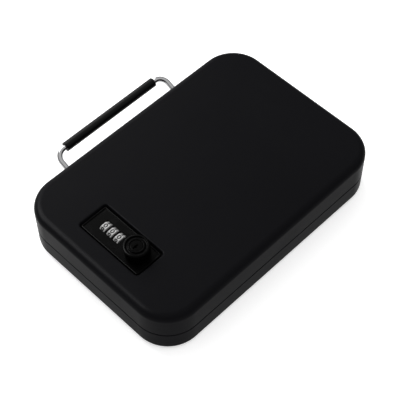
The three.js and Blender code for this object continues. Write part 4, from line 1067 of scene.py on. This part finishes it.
for end, (low, high) in bracket_boxes.items():
    inner, outer, away = (high.y, low.y, -1) if end == "front" else (low.y, high.y, 1)
    loop_ends = sorted((inner, inner + away * BRACKET_WIDTH))
    strap = sheet_piece(f"bail_strap_{end}", strap_profile, *loop_ends)
    moved(strap, Matrix(((-1, 0, 0, 0), (0, 0, 1, 0), (0, 1, 0, 0), (0, 0, 0, 1))))
    apron_ends = sorted((inner + away * BRACKET_WIDTH / 2, outer))
    tab_ends = sorted((outer - away * STOP_TAB_WIDTH, outer))
    apron = block("apron", (-strap_back, apron_ends[0], -BRACKET_OUTER - BRACKET_FLANGE),
                  (-SEAT_GAP, apron_ends[1], -BRACKET_OUTER))
    tab = block("tab", (-STOP_TAB_REACH, tab_ends[0], tab_top - BRACKET_SHEET),
                (-SEAT_GAP, tab_ends[1], tab_top))
    joined(strap, apron, tab)
    shifted(strap, -half_x, 0, pivot.z)
    holes = [level_with(along_x(rod("rivet_hole", RIVET_HOLE, -half_x - 10 * MM, -half_x, 24)), *box)
             for box in rivet_boxes if low.y < box[0].y < high.y]
    cut(strap, *holes)
    dressed(softened(strap, 0.22 * MM), bright_chrome, "bright_chrome", "base", f"bail_bracket_{end}")

for k, (low, high) in enumerate(rivet_boxes):
    rivet = two_headed(f"strap_rivet_{k + 1}", RIVET_RADIUS, (high.y - low.y) / 2, RIVET_HEAD, RIVET_DOME,
                       low, high, 32)
    dressed(rivet, bright_chrome, "bright_chrome", "base", f"bail_bracket_rivet_{k + 1}")

# Bail and grip
# The bail is one length of chromed steel wire, bent square at the corners and again into its two pivots.
# The grip is a smooth black rubber sleeve pushed over its straight middle before the last bends.

BAIL_REST = math.radians(25.2)
BAIL_REACH = 26.7 * MM
BAIL_BEND = 8.65 * MM
BAIL_FOOT_BEND = 3.6 * MM
BAIL_LEG = 60.6 * MM
BAIL_TRUNNION = 14 * MM
WIRE_SIDES = 32
BEND_STEPS = 16
WIRE_EASE = 0.3 * MM
GRIP_HALF = 50 * MM
GRIP_RADIUS = 4.15 * MM

RUBBER_TONES = (0.0010, 0.0010, 0.0011), (0.0018, 0.0018, 0.0019)

foot = BAIL_LEG - BAIL_FOOT_BEND
half_path = [Vector(p) for p in [
    (0, foot - BAIL_TRUNNION),
    *arc((-BAIL_FOOT_BEND, foot), BAIL_FOOT_BEND, 0, 90, BEND_STEPS),
    *arc((BAIL_BEND - BAIL_REACH, BAIL_LEG - BAIL_BEND), BAIL_BEND, 90, 180, BEND_STEPS),
]]
bail_path = half_path + [Vector((p.x, -p.y)) for p in reversed(half_path)]


def bent_wire(name, path, radius):
    """A round wire along a path in the XY plane, with its cut ends slightly rounded."""
    stations = []
    for k, point in enumerate(path):
        before = path[max(k - 1, 0)]
        after = path[min(k + 1, len(path) - 1)]
        stations.append((point, (after - before).normalized(), radius))
    first, along, _ = stations[0]
    last, on, _ = stations[-1]
    stations[0] = (first + along * WIRE_EASE, along, radius)
    stations[-1] = (last - on * WIRE_EASE, on, radius)
    stations = [(first, along, radius - WIRE_EASE)] + stations + [(last, on, radius - WIRE_EASE)]
    rings = []
    for point, along, size in stations:
        side = Vector((-along.y, along.x, 0))
        rings.append([point.to_3d() + side * out + Vector((0, 0, up))
                      for out, up in arc((0, 0), size, 0, 360, WIRE_SIDES)[:-1]])
    return skinned(name, rings)


raised = Matrix.Translation(pivot) @ Matrix.Rotation(BAIL_REST, 4, "Y")
bail = moved(bent_wire("bail_wire", bail_path, BAIL_WIRE), raised)
dressed(bail, bright_chrome, "bright_chrome", "handle", "handle_bail")

grip_rubber, tree, shader, place = new_finish("grip_rubber", specular=0.09)
grain = placed(tree, sprayed_grain, place, Grain=1800.0, Patches=50.0)
marks = placed(tree, handling_marks, place, Smudges=60.0, Edge=0.5)
coloured(tree, shader, grain["Film"], RUBBER_TONES)
satin = weighed(tree, grain["Film"], marks["Mask"], 0.4)
roughened(tree, shader, satin, 0.40, 0.56)
bumped(tree, shader, grain["Height"], 0.012 * MM)

grip = sleeve("grip_sleeve", BAIL_WIRE + SEAT_GAP, GRIP_RADIUS, -GRIP_HALF, GRIP_HALF, RIM_EASE)
moved(grip, Matrix.Translation((-BAIL_REACH, 0, 0)) @ Matrix.Rotation(math.pi / 2, 4, "X"))
moved(grip, raised)
dressed(softened(grip, 0), grip_rubber, "grip_rubber", "handle", "handle_grip")

# Foam liners
# Two pads of closed-cell foam, die-cut and glued into the floor and the lid. Their cut edges stay crisp
# but soft, and the lid's pad stops short of the lock.

FOAM_CORNER = 22 * MM
FOAM_EDGE = 1.1 * MM
FOAM_TONES = (0.010, 0.010, 0.011), (0.032, 0.032, 0.034)

liner_foam, tree, shader, place = new_finish("liner_foam", specular=0.2)
cells = tree.nodes.new("ShaderNodeTexVoronoi")
cells.inputs["Scale"].default_value = 1400.0
tree.links.new(place, cells.inputs["Vector"])
grain = placed(tree, sprayed_grain, place, Grain=900.0, Patches=25.0)
pore_depth_and_pore_shade = weighed(tree, cells.outputs["Distance"], grain["Height"], 0.5)
# The foam is coloured darker in the pits of its pores, a painted shade that follows the bump, mixed with
# random grain tone.
coloured(tree, shader, pore_depth_and_pore_shade, FOAM_TONES)
roughened(tree, shader, grain["Film"], 0.85, 0.98)
bumped(tree, shader, pore_depth_and_pore_shade, 0.25 * MM)

for name, node, body in [("floor_foam", "base_foam_pad", "base"), ("lid_foam", "lid_foam_pad", "lid")]:
    low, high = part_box(node)
    pad = pressed(name, [
        (2 * FOAM_EDGE, low.z),
        (0, low.z, FOAM_EDGE),
        (0, high.z, FOAM_EDGE),
        (2 * FOAM_EDGE, high.z),
    ], (high.x - low.x) / 2, (high.y - low.y) / 2, FOAM_CORNER)
    softened(shifted(pad, 0, (low.y + high.y) / 2, 0), 0)
    dressed(pad, liner_foam, "liner_foam", body, node)

# Studio
# A pale seamless floor under a soft overhead light, with one large softbox on the handle's side. A white
# card beside it is seen only in the gloss of the black shells, lock plate and knob.

HORIZON = (0.1, 0.1)
OVERHEAD = (0.9, 1.05)
FLOOR_GLOW = 0.48
FLOOR_HALF = 4
FLOOR_TONES = (0.90, 0.90, 0.90), (0.94, 0.94, 0.94)

floor_mesh = bmesh.new()
bmesh.ops.create_grid(floor_mesh, x_segments=1, y_segments=1, size=FLOOR_HALF)
floor = as_piece("floor", floor_mesh)
floor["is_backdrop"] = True
floor_paint, tree, shader, place = new_finish("floor_paint", specular=0.1)
clouds = noise(tree, place, 3.0, 2)
coloured(tree, shader, clouds, FLOOR_TONES)
shader.inputs["Roughness"].default_value = 0.9
shader.inputs["Emission Color"].default_value = (1, 1, 1, 1)
shader.inputs["Emission Strength"].default_value = FLOOR_GLOW
floor.data.materials.append(floor_paint)


def aimed(name, data, azimuth, elevation, distance):
    """A light or camera that faces the object, in degrees round from the lock end and up."""
    holder = linked(name, data)
    around = math.radians(azimuth)
    above = math.radians(elevation)
    back = Vector((math.sin(around) * math.cos(above), -math.cos(around) * math.cos(above),
                   math.sin(above)))
    holder.location = back * distance
    holder.rotation_mode = "QUATERNION"
    holder.rotation_quaternion = (-back).to_track_quat("-Z", "Y")
    return holder


def soft_light(name, azimuth, elevation, distance, size, power):
    """A rectangular soft light that faces the object."""
    lamp = bpy.data.lights.new(name, "AREA")
    lamp.shape = "RECTANGLE"
    lamp.size = size[0]
    lamp.size_y = size[1]
    lamp.energy = power
    return aimed(name, lamp, azimuth, elevation, distance)


soft_light("key", azimuth=-100, elevation=33, distance=0.95, size=(0.8, 0.85), power=9.5)
card = soft_light("card", azimuth=-58, elevation=46, distance=0.95, size=(0.65, 0.7), power=30)
card.visible_diffuse = False
card_lit = bpy.data.collections.new("card_lit")
for piece in (base, lid, plate, knob, plug):
    card_lit.objects.link(piece)
card.light_linking.receiver_collection = card_lit

world = bpy.data.worlds.new("studio")
world.use_nodes = True
tree = world.node_tree
height = tree.nodes.new("ShaderNodeSeparateXYZ")
tree.links.new(tree.nodes.new("ShaderNodeTexCoord").outputs["Generated"], height.inputs["Vector"])
brightness = ranged(tree, height.outputs["Z"], HORIZON, OVERHEAD, "SMOOTHSTEP")
tree.links.new(brightness, tree.nodes["Background"].inputs["Strength"])
tree.nodes["Background"].inputs["Color"].default_value = (1, 1, 1, 1)
bpy.context.scene.world = world
bpy.context.scene.view_settings.view_transform = "Standard"

# Camera
# It stands above the corner between the lock end and the +X side, and looks down at about 54 degrees.

CAMERA_AZIMUTH = 44.9
CAMERA_ELEVATION = 54.18
CAMERA_ROLL = math.radians(-0.09)
CAMERA_DISTANCE = 925.75 * MM
CAMERA_AIM = Vector((0, 0, 24.13 * MM))
CAMERA_LENS = 103.6
CAMERA_SHIFT = (-0.0064, -0.0270)

camera = aimed("camera", bpy.data.cameras.new("camera"),
               CAMERA_AZIMUTH, CAMERA_ELEVATION, CAMERA_DISTANCE)
camera.location += CAMERA_AIM
camera.rotation_quaternion @= Matrix.Rotation(CAMERA_ROLL, 3, "Z").to_quaternion()
camera.data.lens = CAMERA_LENS
camera.data.sensor_width = 36
camera.data.shift_x, camera.data.shift_y = CAMERA_SHIFT
bpy.context.scene.camera = camera

low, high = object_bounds()
